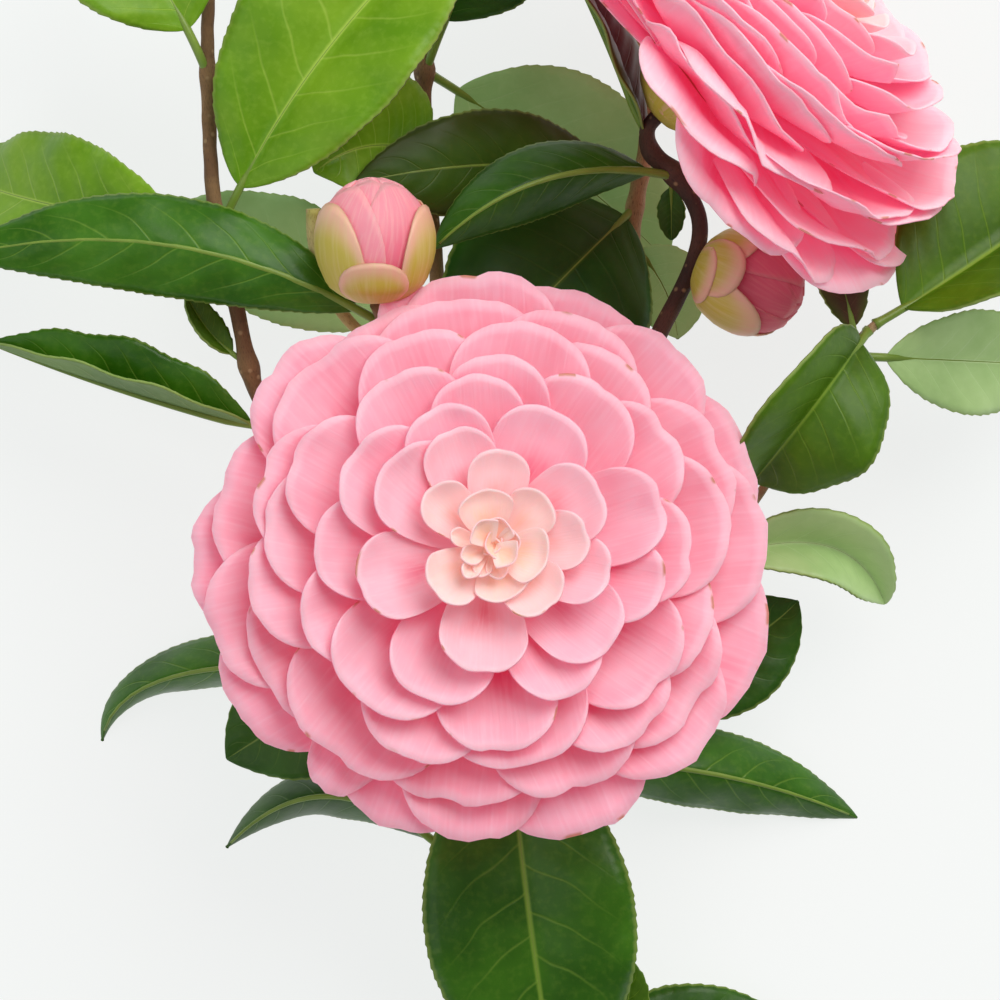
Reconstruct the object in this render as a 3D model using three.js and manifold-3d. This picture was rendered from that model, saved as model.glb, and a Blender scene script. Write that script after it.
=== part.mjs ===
// A flowering camellia branch, cut off and lying on its leaves on a level surface.
// Millimetres, +Z up. The open bloom faces up, the second bloom faces aside, and the stems fan out
// from one main stem, whose flat cut end lies at the front (-Y). The origin is on the surface,
// under the middle of the branch.
import * as THREE from "three";
import { mergeVertices } from "three/addons/utils/BufferGeometryUtils.js";
import Module from "manifold-3d";

const wasm = await Module();
wasm.setup();

// Driving dimensions
const bladeThickness = 0.9; // leaf blade at the midrib
const petalThickness = 1.1;
const stalkRadius = 0.9;
const clearance = 0.3; // between pieces that touch on the plant
const middle = [3, 2.25]; // x and y of the branch's middle in the layout below

const up = new THREE.Vector3(0, 0, 1);
const degrees = THREE.MathUtils.degToRad;
const point = ([x, y, z]) => new THREE.Vector3(x - middle[0], y - middle[1], z);

const finishes = {
  bark: new THREE.MeshStandardMaterial({ color: 0x7a573c, roughness: 0.75 }),
  leaf: new THREE.MeshStandardMaterial({ color: 0x3f6a1f, roughness: 0.35 }),
  petal: new THREE.MeshStandardMaterial({ color: 0xf5a3b5, roughness: 0.6 }),
  sepal: new THREE.MeshStandardMaterial({ color: 0xb3a85a, roughness: 0.5 }),
};

// ---- Solids -------------------------------------------------------------------------------

// A closed surface through rings of points. Each end is a fan round its own middle, or comes to a tip.
function loft(rings, tip) {
  const sides = rings[0].length;
  const vertices = rings.flat();
  const faces = [];
  for (let i = 0; i + 1 < rings.length; i++)
    for (let j = 0; j < sides; j++) {
      const a = i * sides + j;
      const b = i * sides + ((j + 1) % sides);
      faces.push([a, b, b + sides], [a, b + sides, a + sides]);
    }
  const last = (rings.length - 1) * sides;
  vertices.push(centreOf(rings[0]), tip ?? centreOf(rings.at(-1)));
  for (let j = 0; j < sides; j++) {
    const next = (j + 1) % sides;
    faces.push([vertices.length - 2, next, j]);
    faces.push([vertices.length - 1, last + j, last + next]);
  }
  return outward(vertices, faces);
}

function centreOf(ring) {
  return ring.reduce((sum, p) => sum.add(p), new THREE.Vector3()).divideScalar(ring.length);
}

// A manifold solid from vertices and faces, turned so that its faces point out.
function outward(vertices, faces) {
  const six = faces.reduce((sum, [a, b, c]) => {
    const cross = vertices[b].clone().cross(vertices[c]);
    return sum + vertices[a].dot(cross);
  }, 0);
  const turned = six < 0 ? faces.map(([a, b, c]) => [a, c, b]) : faces;
  return new wasm.Manifold(
    new wasm.Mesh({
      numProp: 3,
      vertProperties: new Float32Array(vertices.flatMap((v) => v.toArray())),
      triVerts: new Uint32Array(turned.flat()),
    }),
  );
}

// A manifold solid of a closed three.js geometry.
function solidOf(geometry) {
  const bare = geometry.clone();
  bare.deleteAttribute("normal");
  bare.deleteAttribute("uv");
  const merged = mergeVertices(bare, 1e-4);
  return new wasm.Manifold(
    new wasm.Mesh({
      numProp: 3,
      vertProperties: merged.attributes.position.array,
      triVerts: new Uint32Array(merged.index.array),
    }),
  );
}

function geometryOf(solid) {
  const mesh = solid.getMesh();
  const positions = new Float32Array(mesh.numVert * 3);
  for (let i = 0; i < mesh.numVert; i++)
    positions.set(mesh.vertProperties.subarray(i * mesh.numProp, i * mesh.numProp + 3), i * 3);
  const geometry = new THREE.BufferGeometry();
  geometry.setAttribute("position", new THREE.BufferAttribute(positions, 3));
  geometry.setIndex(new THREE.BufferAttribute(new Uint32Array(mesh.triVerts), 1));
  geometry.computeVertexNormals();
  return geometry;
}

// The largest body of a solid: a cut can leave a scrap on a limb's far side.
function largest(solid) {
  return solid.decompose().sort((a, b) => b.volume() - a.volume())[0];
}

// ---- Stems --------------------------------------------------------------------------------

const stems = {
  main_stem: {
    path: [[8, -131, 4.2], [8, -121, 4.4], [7, -97, 10], [5, -71, 18], [2, -44, 26],
           [-1, -24, 32], [-3.1, -14.5, 37.8], [-3.7, -12, 43.7]],
    radii: [4.2, 2.1], steps: 15, sides: 10,
  },
  left_stem: {
    path: [[2, -42, 26.5], [-9, -27, 30], [-30, -3, 34.5], [-43.7, 18.2, 38], [-48.1, 36.3, 42],
           [-51.5, 52, 44.5], [-52.8, 72, 43.8], [-52.9, 92, 41], [-51, 112, 37]],
    radii: [2, 1.1], steps: 18, sides: 7,
  },
  middle_stem: {
    path: [[0, -30, 30], [-6, -10, 27.5], [-10, 20, 25], [-12, 46, 22], [-14, 76, 20],
           [-12.5, 98, 21], [-9, 113, 23]],
    radii: [1.7, 1.1], steps: 14, sides: 7,
  },
  back_stem: {
    path: [[1.4, -38, 27.5], [12, -12, 23], [20, 20, 18], [25, 53, 15], [27.5, 72, 13.5],
           [25, 86, 13], [19, 99, 13], [11, 111, 14]],
    radii: [1.7, 1.2], steps: 15, sides: 7,
  },
  bloom_stem: {
    path: [[-0.6, -26, 31.4], [10, -11, 32.5], [20.8, 12.8, 35.5], [29.2, 30.8, 39], [35.2, 43.4, 40.5],
           [36.2, 51.5, 39.8], [32, 59, 38.6], [27.5, 63.5, 39.6], [26.8, 67.3, 42.2], [28.6, 69.7, 44.5]],
    radii: [1.9, 1.4], steps: 20, sides: 7,
  },
  right_stem: {
    path: [[1.8, -41, 27], [18, -27, 28.5], [35, -12.5, 31], [46.7, 0, 34], [55, 14.6, 36.5],
           [63.6, 27.3, 40], [68.5, 32.2, 42]],
    radii: [1.7, 1.2], steps: 14, sides: 7,
  },
  bud_twig: {
    path: [[-9.6, 14, 25.6], [-14, 20, 36], [-19, 28.5, 49], [-22, 35, 56.8]],
    radii: [1.5, 1.3], steps: 8, sides: 7,
  },
  scale_stub: {
    path: [[-17.8, 26.6, 46.2], [-26, 31, 46.8], [-31, 38, 48.6], [-33.2, 45, 50.6], [-33.6, 52.3, 51.6]],
    radii: [1, 1.5], steps: 7, sides: 7,
  },
  low_twig: {
    path: [[4.8, -66, 19.6], [-3, -66.4, 19.5], [-11, -65.6, 19.2]],
    radii: [1.2, 0.9], steps: 4, sides: 7,
  },
};

// One tapering limb with a flat cut at its foot, where its rings have a vertex straight down. extra
// makes it that much fatter and longer, as the room that its neighbours keep clear.
function limb({ path, radii, steps, sides }, extra = 0) {
  const points = path.map(point);
  const curve = new THREE.CatmullRomCurve3(points, false, "centripetal");
  let side = up.clone().negate();
  const rings = [];
  for (let i = 0; i <= steps; i++) {
    const share = i / steps;
    const along = i ? curve.getTangentAt(share) : points[1].clone().setZ(points[0].z).sub(points[0]);
    along.normalize();
    side = side.sub(along.clone().multiplyScalar(side.dot(along))).normalize();
    const across = along.clone().cross(side);
    const radius = THREE.MathUtils.lerp(radii[0], radii[1], share ** 0.8) + extra;
    const centre = curve.getPointAt(share);
    if (i === steps) centre.addScaledVector(along, extra);
    rings.push(
      Array.from({ length: sides }, (_, j) => {
        const turn = (2 * Math.PI * j) / sides;
        return centre
          .clone()
          .addScaledVector(side, radius * Math.cos(turn))
          .addScaledVector(across, radius * Math.sin(turn));
      }),
    );
  }
  return loft(rings);
}

const grown = Object.fromEntries(
  Object.entries(stems).map(([name, stem]) => [name, limb(stem, clearance)]),
);

// ---- Leaves -------------------------------------------------------------------------------

// at: the middle of the stem it grows from; tip: the blade's end; rise and sway: how far the midrib
// bows up and to its left; lead: where along the leaf it bows most; stalk: length before the blade;
// roll: turn about the midrib; fold: how far each half stands up, in degrees.
const leaves = {
  leaf_top_left: {
    on: "left_stem", at: [-52.9, 77, 43.4], tip: [-80, 114, 38],
    rise: 5, sway: -3, stalk: 9, width: 30, roll: 8, fold: 14,
  },
  leaf_upper_left: {
    on: "left_stem", at: [-50.8, 48.8, 44.3], tip: [-2, 110, 50],
    rise: 5, sway: 4.5, stalk: 9, width: 36, roll: -14, fold: 20,
  },
  leaf_left_back: {
    on: "left_stem", at: [-51, 50.5, 44.5], tip: [-104, 62, 0.1],
    rise: 10, sway: 3, stalk: 8, width: 26, roll: 6, fold: 6,
  },
  leaf_left_long: {
    on: "bud_twig", at: [-20.5, 31.2, 52.2], tip: [-98, 43.8, 50],
    rise: 4, sway: -8, stalk: 6, width: 19.5, roll: 0, fold: -25,
  },
  leaf_left_lower: {
    on: "left_stem", at: [-40.4, 12.6, 37], tip: [-93.5, 28.8, 34],
    rise: 2, sway: 1, stalk: 5, width: 18, roll: 45, fold: 60,
  },
  leaf_behind_stem: {
    on: "middle_stem", at: [-10.9, 32, 23.6], tip: [-62, 54.3, 17],
    rise: 4, sway: 0.5, stalk: 8, width: 23, roll: 10, fold: 8,
  },
  leaf_small_young: {
    on: "left_stem", at: [-45.4, 24.5, 39.9], tip: [-57, 37.5, 41.5],
    rise: -1.5, sway: 1.5, stalk: 4, width: 6, roll: 30, fold: 30,
  },
  leaf_bright: {
    on: "middle_stem", at: [-12.9, 64, 20.7], tip: [-33.8, 59.5, 40],
    rise: 5, sway: -3, stalk: 2, width: 27, roll: -8, fold: 8,
  },
  leaf_dark: {
    on: "back_stem", at: [25.9, 60.5, 14.3], tip: [-26.5, 57.5, 41],
    rise: 5, sway: -2.5, stalk: 9, width: 20, roll: -6, fold: -10,
  },
  leaf_upper_centre: {
    on: "bloom_stem", at: [32.2, 58.8, 38.6], tip: [-12, 45, 52],
    rise: 6, sway: -6, stalk: 6, width: 20, roll: -4, fold: -50,
  },
  leaf_centre_large: {
    on: "back_stem", at: [25.2, 54.6, 14.9], tip: [-8.3, 19.3, 30],
    rise: 5, sway: -0.5, stalk: 3, width: 39, roll: 0, fold: 6,
  },
  leaf_top_back: {
    on: "middle_stem", at: [-13.6, 79.5, 20.1], tip: [31.7, 44.9, 5],
    rise: -3, sway: 2, stalk: 7, width: 34, roll: 4, fold: 5,
  },
  leaf_bloom_back: {
    on: "bloom_stem", at: [27.8, 63.2, 39.6], tip: [9, 104, 42],
    rise: 3, sway: -1, stalk: 4, width: 24, roll: 76, fold: 10,
  },
  leaf_top_middle: {
    on: "middle_stem", at: [-13.8, 79.5, 20.1], tip: [8, 117, 27],
    rise: 5, sway: 2, stalk: 11, width: 25, roll: 10, fold: 12,
  },
  leaf_right_upper: {
    on: "right_stem", at: [68, 31.8, 41.8], tip: [110, 57.5, 33],
    rise: 0, sway: -2, stalk: 7, width: 31, roll: -33, fold: 33,
  },
  leaf_right_middle: {
    on: "right_stem", at: [62.6, 26.2, 39.6], tip: [105, 25, 16],
    rise: 4, sway: 0, stalk: 8, width: 19, roll: 10, fold: 8,
  },
  leaf_right_drooping: {
    on: "right_stem", at: [66.8, 30.7, 41.4], tip: [46, 3.2, 38],
    rise: 12, sway: 0, stalk: 4, width: 28, roll: -30, fold: 30,
  },
  leaf_under_bloom: {
    on: "right_stem", at: [64.6, 28.4, 40.4], tip: [56.5, 53, 43.5],
    rise: 1, sway: -1, stalk: 3, width: 10, roll: 20, fold: 10,
  },
  leaf_right_low: {
    on: "right_stem", at: [34, -13.2, 30.9], tip: [71.8, -19.4, 16],
    rise: 4, sway: 9, lead: 0.72, stalk: 8, width: 19, roll: 0, fold: 50,
  },
  leaf_right_behind: {
    on: "right_stem", at: [19, -26.2, 28.6], tip: [55.4, -18.8, 19],
    rise: -6, sway: -6.5, stalk: 7, width: 24, roll: 0, fold: 6,
  },
  leaf_low_right: {
    on: "main_stem", at: [2.6, -49, 24.6], tip: [67.8, -60.3, 0.1],
    rise: 5, sway: 4.3, stalk: 8, width: 20, roll: 4, fold: -42,
  },
  leaf_bottom_front: {
    on: "main_stem", at: [1.4, -40, 27.2], tip: [10.8, -111.5, 17],
    rise: 9, sway: -0.8, stalk: 4, width: 38.5, roll: 0, fold: 6,
  },
  leaf_low_left: {
    on: "low_twig", at: [-9.5, -65.8, 19.3], tip: [-51.3, -65.2, 12],
    rise: 6, sway: -10.5, lead: 0.56, stalk: 4, width: 22, roll: 0, fold: -66,
  },
  leaf_left_hidden: {
    on: "left_stem", at: [-12.2, -23.3, 30.7], tip: [-50.7, -48, 22],
    rise: 2, sway: 0, stalk: 8, width: 26, roll: 0, fold: 6,
  },
  leaf_left_low: {
    on: "left_stem", at: [-4.6, -33.6, 28.5], tip: [-75.4, -45.8, 0.1],
    rise: 5, sway: -10.3, lead: 0.9, stalk: 8, width: 21, roll: -7, fold: -60,
  },
  leaf_bottom_small: {
    on: "main_stem", at: [7.4, -104, 8.2], tip: [23.5, -85.4, 15],
    rise: 0, sway: -7, lead: 0.6, stalk: 8, width: 8, roll: 20, fold: 20,
  },
  leaf_bottom_right: {
    on: "main_stem", at: [7.8, -112, 6.2], tip: [55, -99.5, 3],
    rise: 3, sway: 1.5, stalk: 7, width: 24, roll: 6, fold: -6,
  },
  leaf_back_centre: {
    on: "back_stem", at: [24.2, 48, 15.6], tip: [33, 30, 20],
    rise: -1, sway: 2, stalk: 2, width: 15, roll: 0, fold: 6,
  },
  leaf_hanging_tip: {
    on: "bloom_stem", at: [31.2, 59.8, 38.6], tip: [31.4, 47.6, 33],
    rise: 0, sway: 0, stalk: 3, width: 7, roll: 10, fold: 10,
  },
  leaf_end_left: {
    on: "left_stem", at: [-50.4, 109, 37.7], tip: [-38, 133, 34],
    rise: 4, sway: -3, stalk: 5, width: 20, roll: -10, fold: 14,
  },
  leaf_end_middle: {
    on: "middle_stem", at: [-9.6, 110, 22.6], tip: [-27, 133, 15],
    rise: 4, sway: 2, stalk: 5, width: 20, roll: 10, fold: 12,
  },
  leaf_end_back: {
    on: "back_stem", at: [12.5, 109, 13.8], tip: [0, 134, 5],
    rise: 5, sway: -2, stalk: 5, width: 20, roll: -6, fold: 10,
  },
};

const bladeStart = 0.8; // how full the blade is at its base
const bladeEnd = 0.9; // above this it would end in a longer point
const stalkStations = [0, 0.6, 1]; // as shares of the stalk
const bladeStations = [0.07, 0.2, 0.38, 0.57, 0.76, 0.92]; // as shares of the blade

function bladeShape(share) {
  const widest = bladeStart / (bladeStart + bladeEnd);
  const full = widest ** bladeStart * (1 - widest) ** bladeEnd;
  return (share ** bladeStart * (1 - share) ** bladeEnd) / full;
}

// A leaf's midrib, bowed up and aside between its stem and its tip.
function midribOf({ at, tip, rise, sway, lead = 0.5 }) {
  const from = point(at);
  const to = point(tip);
  const left = up.clone().cross(to.clone().sub(from)).normalize();
  const control = from.clone().lerp(to, lead);
  control.addScaledVector(up, 2 * rise).addScaledVector(left, 2 * sway);
  return new THREE.QuadraticBezierCurve3(from, control, to);
}

// Stalk and blade in one closed loft of eight-point rings, with a sharp margin on both sides.
function leafSolid(leaf) {
  const midrib = midribOf(leaf);
  const stalkShare = leaf.stalk / midrib.getLength();
  const shares = [
    ...stalkStations.map((s) => s * stalkShare),
    ...bladeStations.map((s) => stalkShare + s * (1 - stalkShare)),
  ];
  const fold = degrees(leaf.fold);
  const rings = shares.map((share) => {
    const along = midrib.getTangentAt(share);
    const normal = up.clone().addScaledVector(along, -up.dot(along)).normalize();
    normal.applyAxisAngle(along, degrees(leaf.roll));
    const right = along.clone().cross(normal);
    const centre = midrib.getPointAt(share);
    const blade = (share - stalkShare) / (1 - stalkShare);
    const half = blade > 0 ? (leaf.width / 2) * bladeShape(blade) : 0;
    if (half < stalkRadius)
      return Array.from({ length: 8 }, (_, j) => {
        const turn = Math.PI - (j * Math.PI) / 4;
        return centre
          .clone()
          .addScaledVector(right, stalkRadius * Math.cos(turn))
          .addScaledVector(normal, stalkRadius * Math.sin(turn));
      });
    const place = (s, lift) =>
      centre
        .clone()
        .addScaledVector(right, half * s * Math.cos(fold))
        .addScaledVector(normal, half * Math.abs(s) * Math.sin(fold) + lift);
    const thick = bladeThickness / 2;
    return [
      place(-1, 0), place(-0.5, 0.8 * thick), place(0, thick), place(0.5, 0.8 * thick),
      place(1, 0), place(0.5, -0.8 * thick), place(0, -thick), place(-0.5, -0.8 * thick),
    ];
  });
  return loft(rings, midrib.getPointAt(1));
}

// ---- Blooms -------------------------------------------------------------------------------

// Petal whorls from the heart out, about an axis that stands on the bloom's foot. reach and height:
// where the petals' tips are; slope: how steeply they end; cup: how far their edges stand up, as a
// share of the half width; azimuths: where each petal points, in degrees.
const openWhorls = [
  { reach: 4.6, height: 38.5, slope: 66, width: 6.5, cup: 0.5, azimuths: [20, 140, 265] },
  { reach: 9.6, height: 38, slope: 44, width: 9.5, cup: 0.4, azimuths: [86, 352, 292, 150, 222] },
  { reach: 13.8, height: 37, slope: 30, width: 13, cup: 0.3, azimuths: [34, 225, 315, 142] },
  { reach: 18.2, height: 35.8, slope: 22, width: 16, cup: 0.26, azimuths: [10, 76, 108, 168] },
  { reach: 23.2, height: 34, slope: 16, width: 19, cup: 0.22, azimuths: [32, 136, 198, 270, 347] },
  { reach: 29, height: 31.4, slope: 12, width: 22, cup: 0.18, azimuths: [59, 98, 140, 253, 319] },
  { reach: 32.3, height: 29.8, slope: 10, width: 22, cup: 0.16, azimuths: [11, 181, 286] },
  { reach: 35.8, height: 27.8, slope: 8, width: 24, cup: 0.14, azimuths: [49, 80, 128, 230, 358] },
  { reach: 40, height: 25, slope: 6, width: 26, cup: 0.12, azimuths: [42, 75, 171, 237, 297, 340] },
  { reach: 45, height: 21.6, slope: 3, width: 28, cup: 0.08, azimuths: [18, 108, 138, 193, 211, 263, 327] },
  { reach: 47, height: 16.8, slope: -2, width: 26, cup: 0.04, azimuths: [114] },
  { reach: 50.2, height: 18.2, slope: 0, width: 29, cup: 0.05,
    azimuths: [3, 46, 92, 136, 165, 196, 232, 273, 316] },
  { reach: 51.2, height: 15.6, slope: -4, width: 30, cup: 0.03,
    azimuths: [22, 69, 179, 213, 254, 295, 335] },
];
// The second bloom is deeper: its middle petals stand up like a bowl, and its outer ones roll back.
const bowlWhorls = [
  { reach: 5, height: 38, slope: 75, width: 7, cup: 0.5, azimuths: [10, 130, 250] },
  { reach: 11, height: 38, slope: 64, width: 11, cup: 0.45, azimuths: [60, 132, 204, 276, 348] },
  { reach: 18, height: 37.5, slope: 54, width: 16, cup: 0.42, azimuths: [24, 96, 168, 240, 312] },
  { reach: 26, height: 36.5, slope: 48, width: 22, cup: 0.4, azimuths: [4, 63, 121, 184, 244, 303] },
  { reach: 34, height: 34.5, slope: 44, width: 28, cup: 0.38, azimuths: [30, 90, 150, 210, 270, 330] },
  { reach: 41, height: 31, slope: 38, width: 33, cup: 0.34, azimuths: [5, 58, 112, 188, 236, 292] },
  { reach: 46, height: 26, slope: 30, width: 35, cup: 0.3, azimuths: [32, 86, 140, 212, 264, 318] },
  { reach: 49.5, height: 19.5, slope: 16, width: 36, cup: 0.22, azimuths: [8, 60, 114, 166, 238, 290] },
  { reach: 50, height: 12, slope: -6, width: 34, cup: 0.1, azimuths: [36, 88, 142, 216, 272, 330] },
  { reach: 48, height: 3, slope: -36, width: 36, cup: -0.1, azimuths: [207, 306, 350] },
  { reach: 50, height: -2, slope: -46, width: 40, cup: -0.15, azimuths: [250] },
];

const petalStations = [0.42, 0.68, 0.87, 0.97]; // along the midline; the first is inside the core
const petalWidest = 0.72;
const petalStep = 1.3; // every other petal of a whorl lies this much higher

// A petal's midline in the plane of its azimuth: distance from the axis, and height.
function petalLine({ reach, height, slope }) {
  const lead = 0.45 * reach;
  return new THREE.QuadraticBezierCurve(
    new THREE.Vector2(Math.min(2.5, 0.4 * reach), Math.max(6, 0.5 * height)),
    new THREE.Vector2(reach - lead * Math.cos(degrees(slope)), height - lead * Math.sin(degrees(slope))),
    new THREE.Vector2(reach, height),
  );
}

function petalHalf(width, share) {
  if (share < petalWidest) return (width / 2) * Math.sin((Math.PI / 2) * (share / petalWidest)) ** 0.8;
  return (width / 2) * Math.sqrt(1 - ((share - petalWidest) / (1 - petalWidest)) ** 2.4);
}

function petalSolid(whorl, azimuth, lift) {
  const line = petalLine(whorl);
  const outwards = new THREE.Vector3(Math.cos(degrees(azimuth)), Math.sin(degrees(azimuth)), 0);
  const across = up.clone().cross(outwards);
  const thick = petalThickness / 2;
  const rings = petalStations.map((share) => {
    const spot = line.getPoint(share);
    const slope = line.getTangent(share);
    const normal = outwards.clone().multiplyScalar(-slope.y).addScaledVector(up, slope.x);
    const half = petalHalf(whorl.width, share);
    const place = (s, off) =>
      outwards
        .clone()
        .multiplyScalar(spot.x)
        .addScaledVector(up, spot.y + lift)
        .addScaledVector(across, half * s)
        .addScaledVector(normal, half * whorl.cup * s * s + off);
    return [place(-1, 0), place(0, thick), place(1, 0), place(0, -thick)];
  });
  const end = line.getPoint(1);
  const tip = outwards.clone().multiplyScalar(end.x).addScaledVector(up, end.y + lift);
  return loft(rings, tip);
}

// The packed petals behind the faces that show, as [distance from the axis, height].
const openCore = [
  [0, 1], [6, 1.6], [16, 5.5], [30, 11], [42, 14.5], [43, 16], [38, 20.5],
  [28, 26.5], [16, 32], [7, 34.5], [0, 34.5],
];
const bowlCore = [
  [0, 1], [6, 1.6], [16, 4.3], [28, 7.5], [35, 10.5], [36, 17], [31, 23.5],
  [22, 28.5], [12, 31.6], [5, 32.7], [0, 32.7],
];
const calyxProfile = [[0, -4.6], [3, -4.6], [7, -2.4], [10.6, 1.8], [10.8, 3.6], [8, 4], [0, 4]];
const calyxClearance = 0.4;

function lathe(profile, sides, rise = 0) {
  const outline = profile.map(([r, z]) => new THREE.Vector2(r, z + rise));
  const geometry = new THREE.LatheGeometry(outline, sides);
  return solidOf(geometry.rotateX(Math.PI / 2));
}

// Puts a solid made round +Z at its own origin onto a foot, facing along a heading and an elevation.
function aimed(solid, { foot, heading, elevation }) {
  const matrix = new THREE.Matrix4()
    .makeTranslation(point(foot))
    .multiply(new THREE.Matrix4().makeRotationZ(degrees(heading)))
    .multiply(new THREE.Matrix4().makeRotationY(degrees(90 - elevation)))
    .multiply(new THREE.Matrix4().makeRotationZ(degrees(-heading)));
  return solid.transform(matrix.elements);
}

const blooms = {
  bloom_front: {
    foot: [-3.4, -11.6, 48], heading: 60, elevation: 83.5,
    whorls: openWhorls, core: openCore, on: "main_stem",
  },
  bloom_upper: {
    foot: [32, 72.7, 44.9], heading: 42, elevation: 16,
    whorls: bowlWhorls, core: bowlCore, on: "bloom_stem",
  },
};

function bloomSolid({ whorls, core }) {
  const petals = whorls.flatMap((whorl) =>
    whorl.azimuths.map((azimuth, i) => petalSolid(whorl, azimuth, (i % 2) * petalStep)),
  );
  return largest(wasm.Manifold.union([lathe(core, 14), ...petals]));
}

// ---- Buds ---------------------------------------------------------------------------------

// The bud's outline as shares of its length and of its radius, from foot to tip.
const budProfile = [
  [0, 0], [0.4, 0.02], [0.78, 0.14], [0.97, 0.36], [1, 0.55], [0.88, 0.76], [0.6, 0.92], [0.25, 0.99], [0, 1],
];
const buds = {
  bud_left: { foot: [-22, 35.4, 57.2], heading: 92, elevation: 12, length: 22.5, radius: 10.2, on: "bud_twig" },
  bud_right: { foot: [36, 43.4, 43.8], heading: -24, elevation: 10, length: 20.5, radius: 9, on: "bloom_stem" },
};

function budSolid({ length, radius }) {
  return lathe(budProfile.map(([r, z]) => [r * radius, z * length]), 12);
}

// ---- The branch ---------------------------------------------------------------------------

const branch = new THREE.Group();
branch.name = "camellia_branch";

function add(name, solid, finish) {
  const mesh = new THREE.Mesh(geometryOf(largest(solid)), finishes[finish]);
  mesh.name = name;
  branch.add(mesh);
}

// Each stem is cut clear of the stems before it, so that side stems start on the bark they grow from.
const stemNames = Object.keys(stems);
stemNames.forEach((name, i) => {
  const earlier = stemNames.slice(0, i).map((other) => grown[other]);
  const solid = earlier.reduce((left, other) => left.subtract(other), limb(stems[name]));
  add(name, solid, "bark");
});

for (const [name, leaf] of Object.entries(leaves)) {
  const solid = leafSolid(leaf).subtract(grown[leaf.on]);
  add(name, solid, "leaf");
}

for (const [name, bloom] of Object.entries(blooms)) {
  const calyx = lathe(calyxProfile, 12).subtract(lathe(bloom.core, 14, -calyxClearance));
  add(name, aimed(bloomSolid(bloom), bloom), "petal");
  add(name.replace("bloom", "calyx"), aimed(calyx, bloom).subtract(grown[bloom.on]), "sepal");
}

for (const [name, bud] of Object.entries(buds))
  add(name, aimed(budSolid(bud), bud).subtract(grown[bud.on]), "sepal");

export default branch;
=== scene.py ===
import math
import random

import bpy
import numpy as np
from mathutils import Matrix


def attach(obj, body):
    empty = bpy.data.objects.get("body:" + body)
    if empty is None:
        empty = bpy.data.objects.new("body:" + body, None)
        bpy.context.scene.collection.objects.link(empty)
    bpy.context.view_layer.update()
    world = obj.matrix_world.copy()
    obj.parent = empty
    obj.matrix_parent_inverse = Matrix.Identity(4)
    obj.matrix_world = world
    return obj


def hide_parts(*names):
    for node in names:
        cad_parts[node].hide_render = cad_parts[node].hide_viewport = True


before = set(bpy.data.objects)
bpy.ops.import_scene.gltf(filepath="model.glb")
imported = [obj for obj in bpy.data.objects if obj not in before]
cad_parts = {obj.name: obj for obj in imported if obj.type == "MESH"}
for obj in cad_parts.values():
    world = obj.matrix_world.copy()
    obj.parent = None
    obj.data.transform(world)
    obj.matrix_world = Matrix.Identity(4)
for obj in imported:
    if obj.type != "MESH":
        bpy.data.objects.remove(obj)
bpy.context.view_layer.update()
print("frame loaded:", len(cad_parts), "nodes")

# All tables are in millimetres, in the branch's own layout. Its middle is the frame's origin.
mm = 0.001
middle = np.array([3.0, 2.25, 0.0])
skyward = np.array([0.0, 0.0, 1.0])


def inFrame(points):
    return (np.asarray(points, dtype=float) - middle) * mm


# The camera looks straight down at the branch, which lies on the floor.
view = {"height": 975, "lens": 185.1, "sensor": 36, "nearest": 0.05}
camera = bpy.data.objects.new("camera", bpy.data.cameras.new("camera"))
bpy.context.collection.objects.link(camera)
camera.location = inFrame([0, 0, view["height"]])
camera.data.sensor_width = view["sensor"]
camera.data.lens = view["lens"]
camera.data.clip_start = view["nearest"]
bpy.context.scene.camera = camera
bpy.context.scene.view_settings.view_transform = "Standard"


def linear(hexColour):
    shares = [int(hexColour[i : i + 2], 16) / 255 for i in (1, 3, 5)]
    return tuple(s / 12.92 if s <= 0.04045 else ((s + 0.055) / 1.055) ** 2.4 for s in shares) + (1.0,)


def addNode(tree, kind, settings=None, links=None):  # a link given as a node takes that node's main result
    node = tree.nodes.new("ShaderNode" + kind)
    for key, value in (settings or {}).items():
        if isinstance(key, int) or key in node.inputs:
            node.inputs[key].default_value = value
        else:
            setattr(node, key, value)
    for key, source in (links or {}).items():
        if isinstance(source, bpy.types.Node):
            source = source.outputs[2 if source.bl_idname == "ShaderNodeMix" else 0]
        tree.links.new(source, node.inputs[key])
    return node


def newMaterial(name):
    material = bpy.data.materials.new(name)
    material.use_nodes = True
    material.node_tree.nodes.clear()
    return material, material.node_tree


def finishMaterial(tree, shader):
    addNode(tree, "OutputMaterial", links={"Surface": shader})


lamps = {
    "softbox": {"size": 1.2, "power": 21, "spot": (0.55, 0.85, 1.15), "colour": "#FFFDF8"},
    "fill": {"size": 1.6, "power": 6, "spot": (-1.0, -0.2, 1.1), "colour": "#FCFCFF"},
}
lampTarget = np.array([0, 0, 0.04])
for name, lamp in lamps.items():
    light = bpy.data.objects.new(name, bpy.data.lights.new(name, "AREA"))
    bpy.context.collection.objects.link(light)
    light.data.size = lamp["size"]
    light.data.energy = lamp["power"]
    light.data.color = linear(lamp["colour"])[:3]
    light.location = lamp["spot"]
    towards = lampTarget - np.array(lamp["spot"])
    light.rotation_mode = "XYZ"
    light.rotation_euler = (
        math.atan2(math.hypot(towards[0], towards[1]), -towards[2]),
        0,
        math.atan2(towards[1], towards[0]) - math.pi / 2,
    )

sky = {"colour": "#F1F2F2", "strength": 0.3}
world = bpy.data.worlds.new("studio")
world.use_nodes = True
bpy.context.scene.world = world
background = world.node_tree.nodes["Background"]
background.inputs["Color"].default_value = linear(sky["colour"])
background.inputs["Strength"].default_value = sky["strength"]

floorBoard = {
    "side": 6.0, "board": "#6A6C6B", "paint": "#E4E6E5", "glow": 1.0, "roughness": 0.9,
    "grain": 0.4, "relief": 0.2,
}


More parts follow.
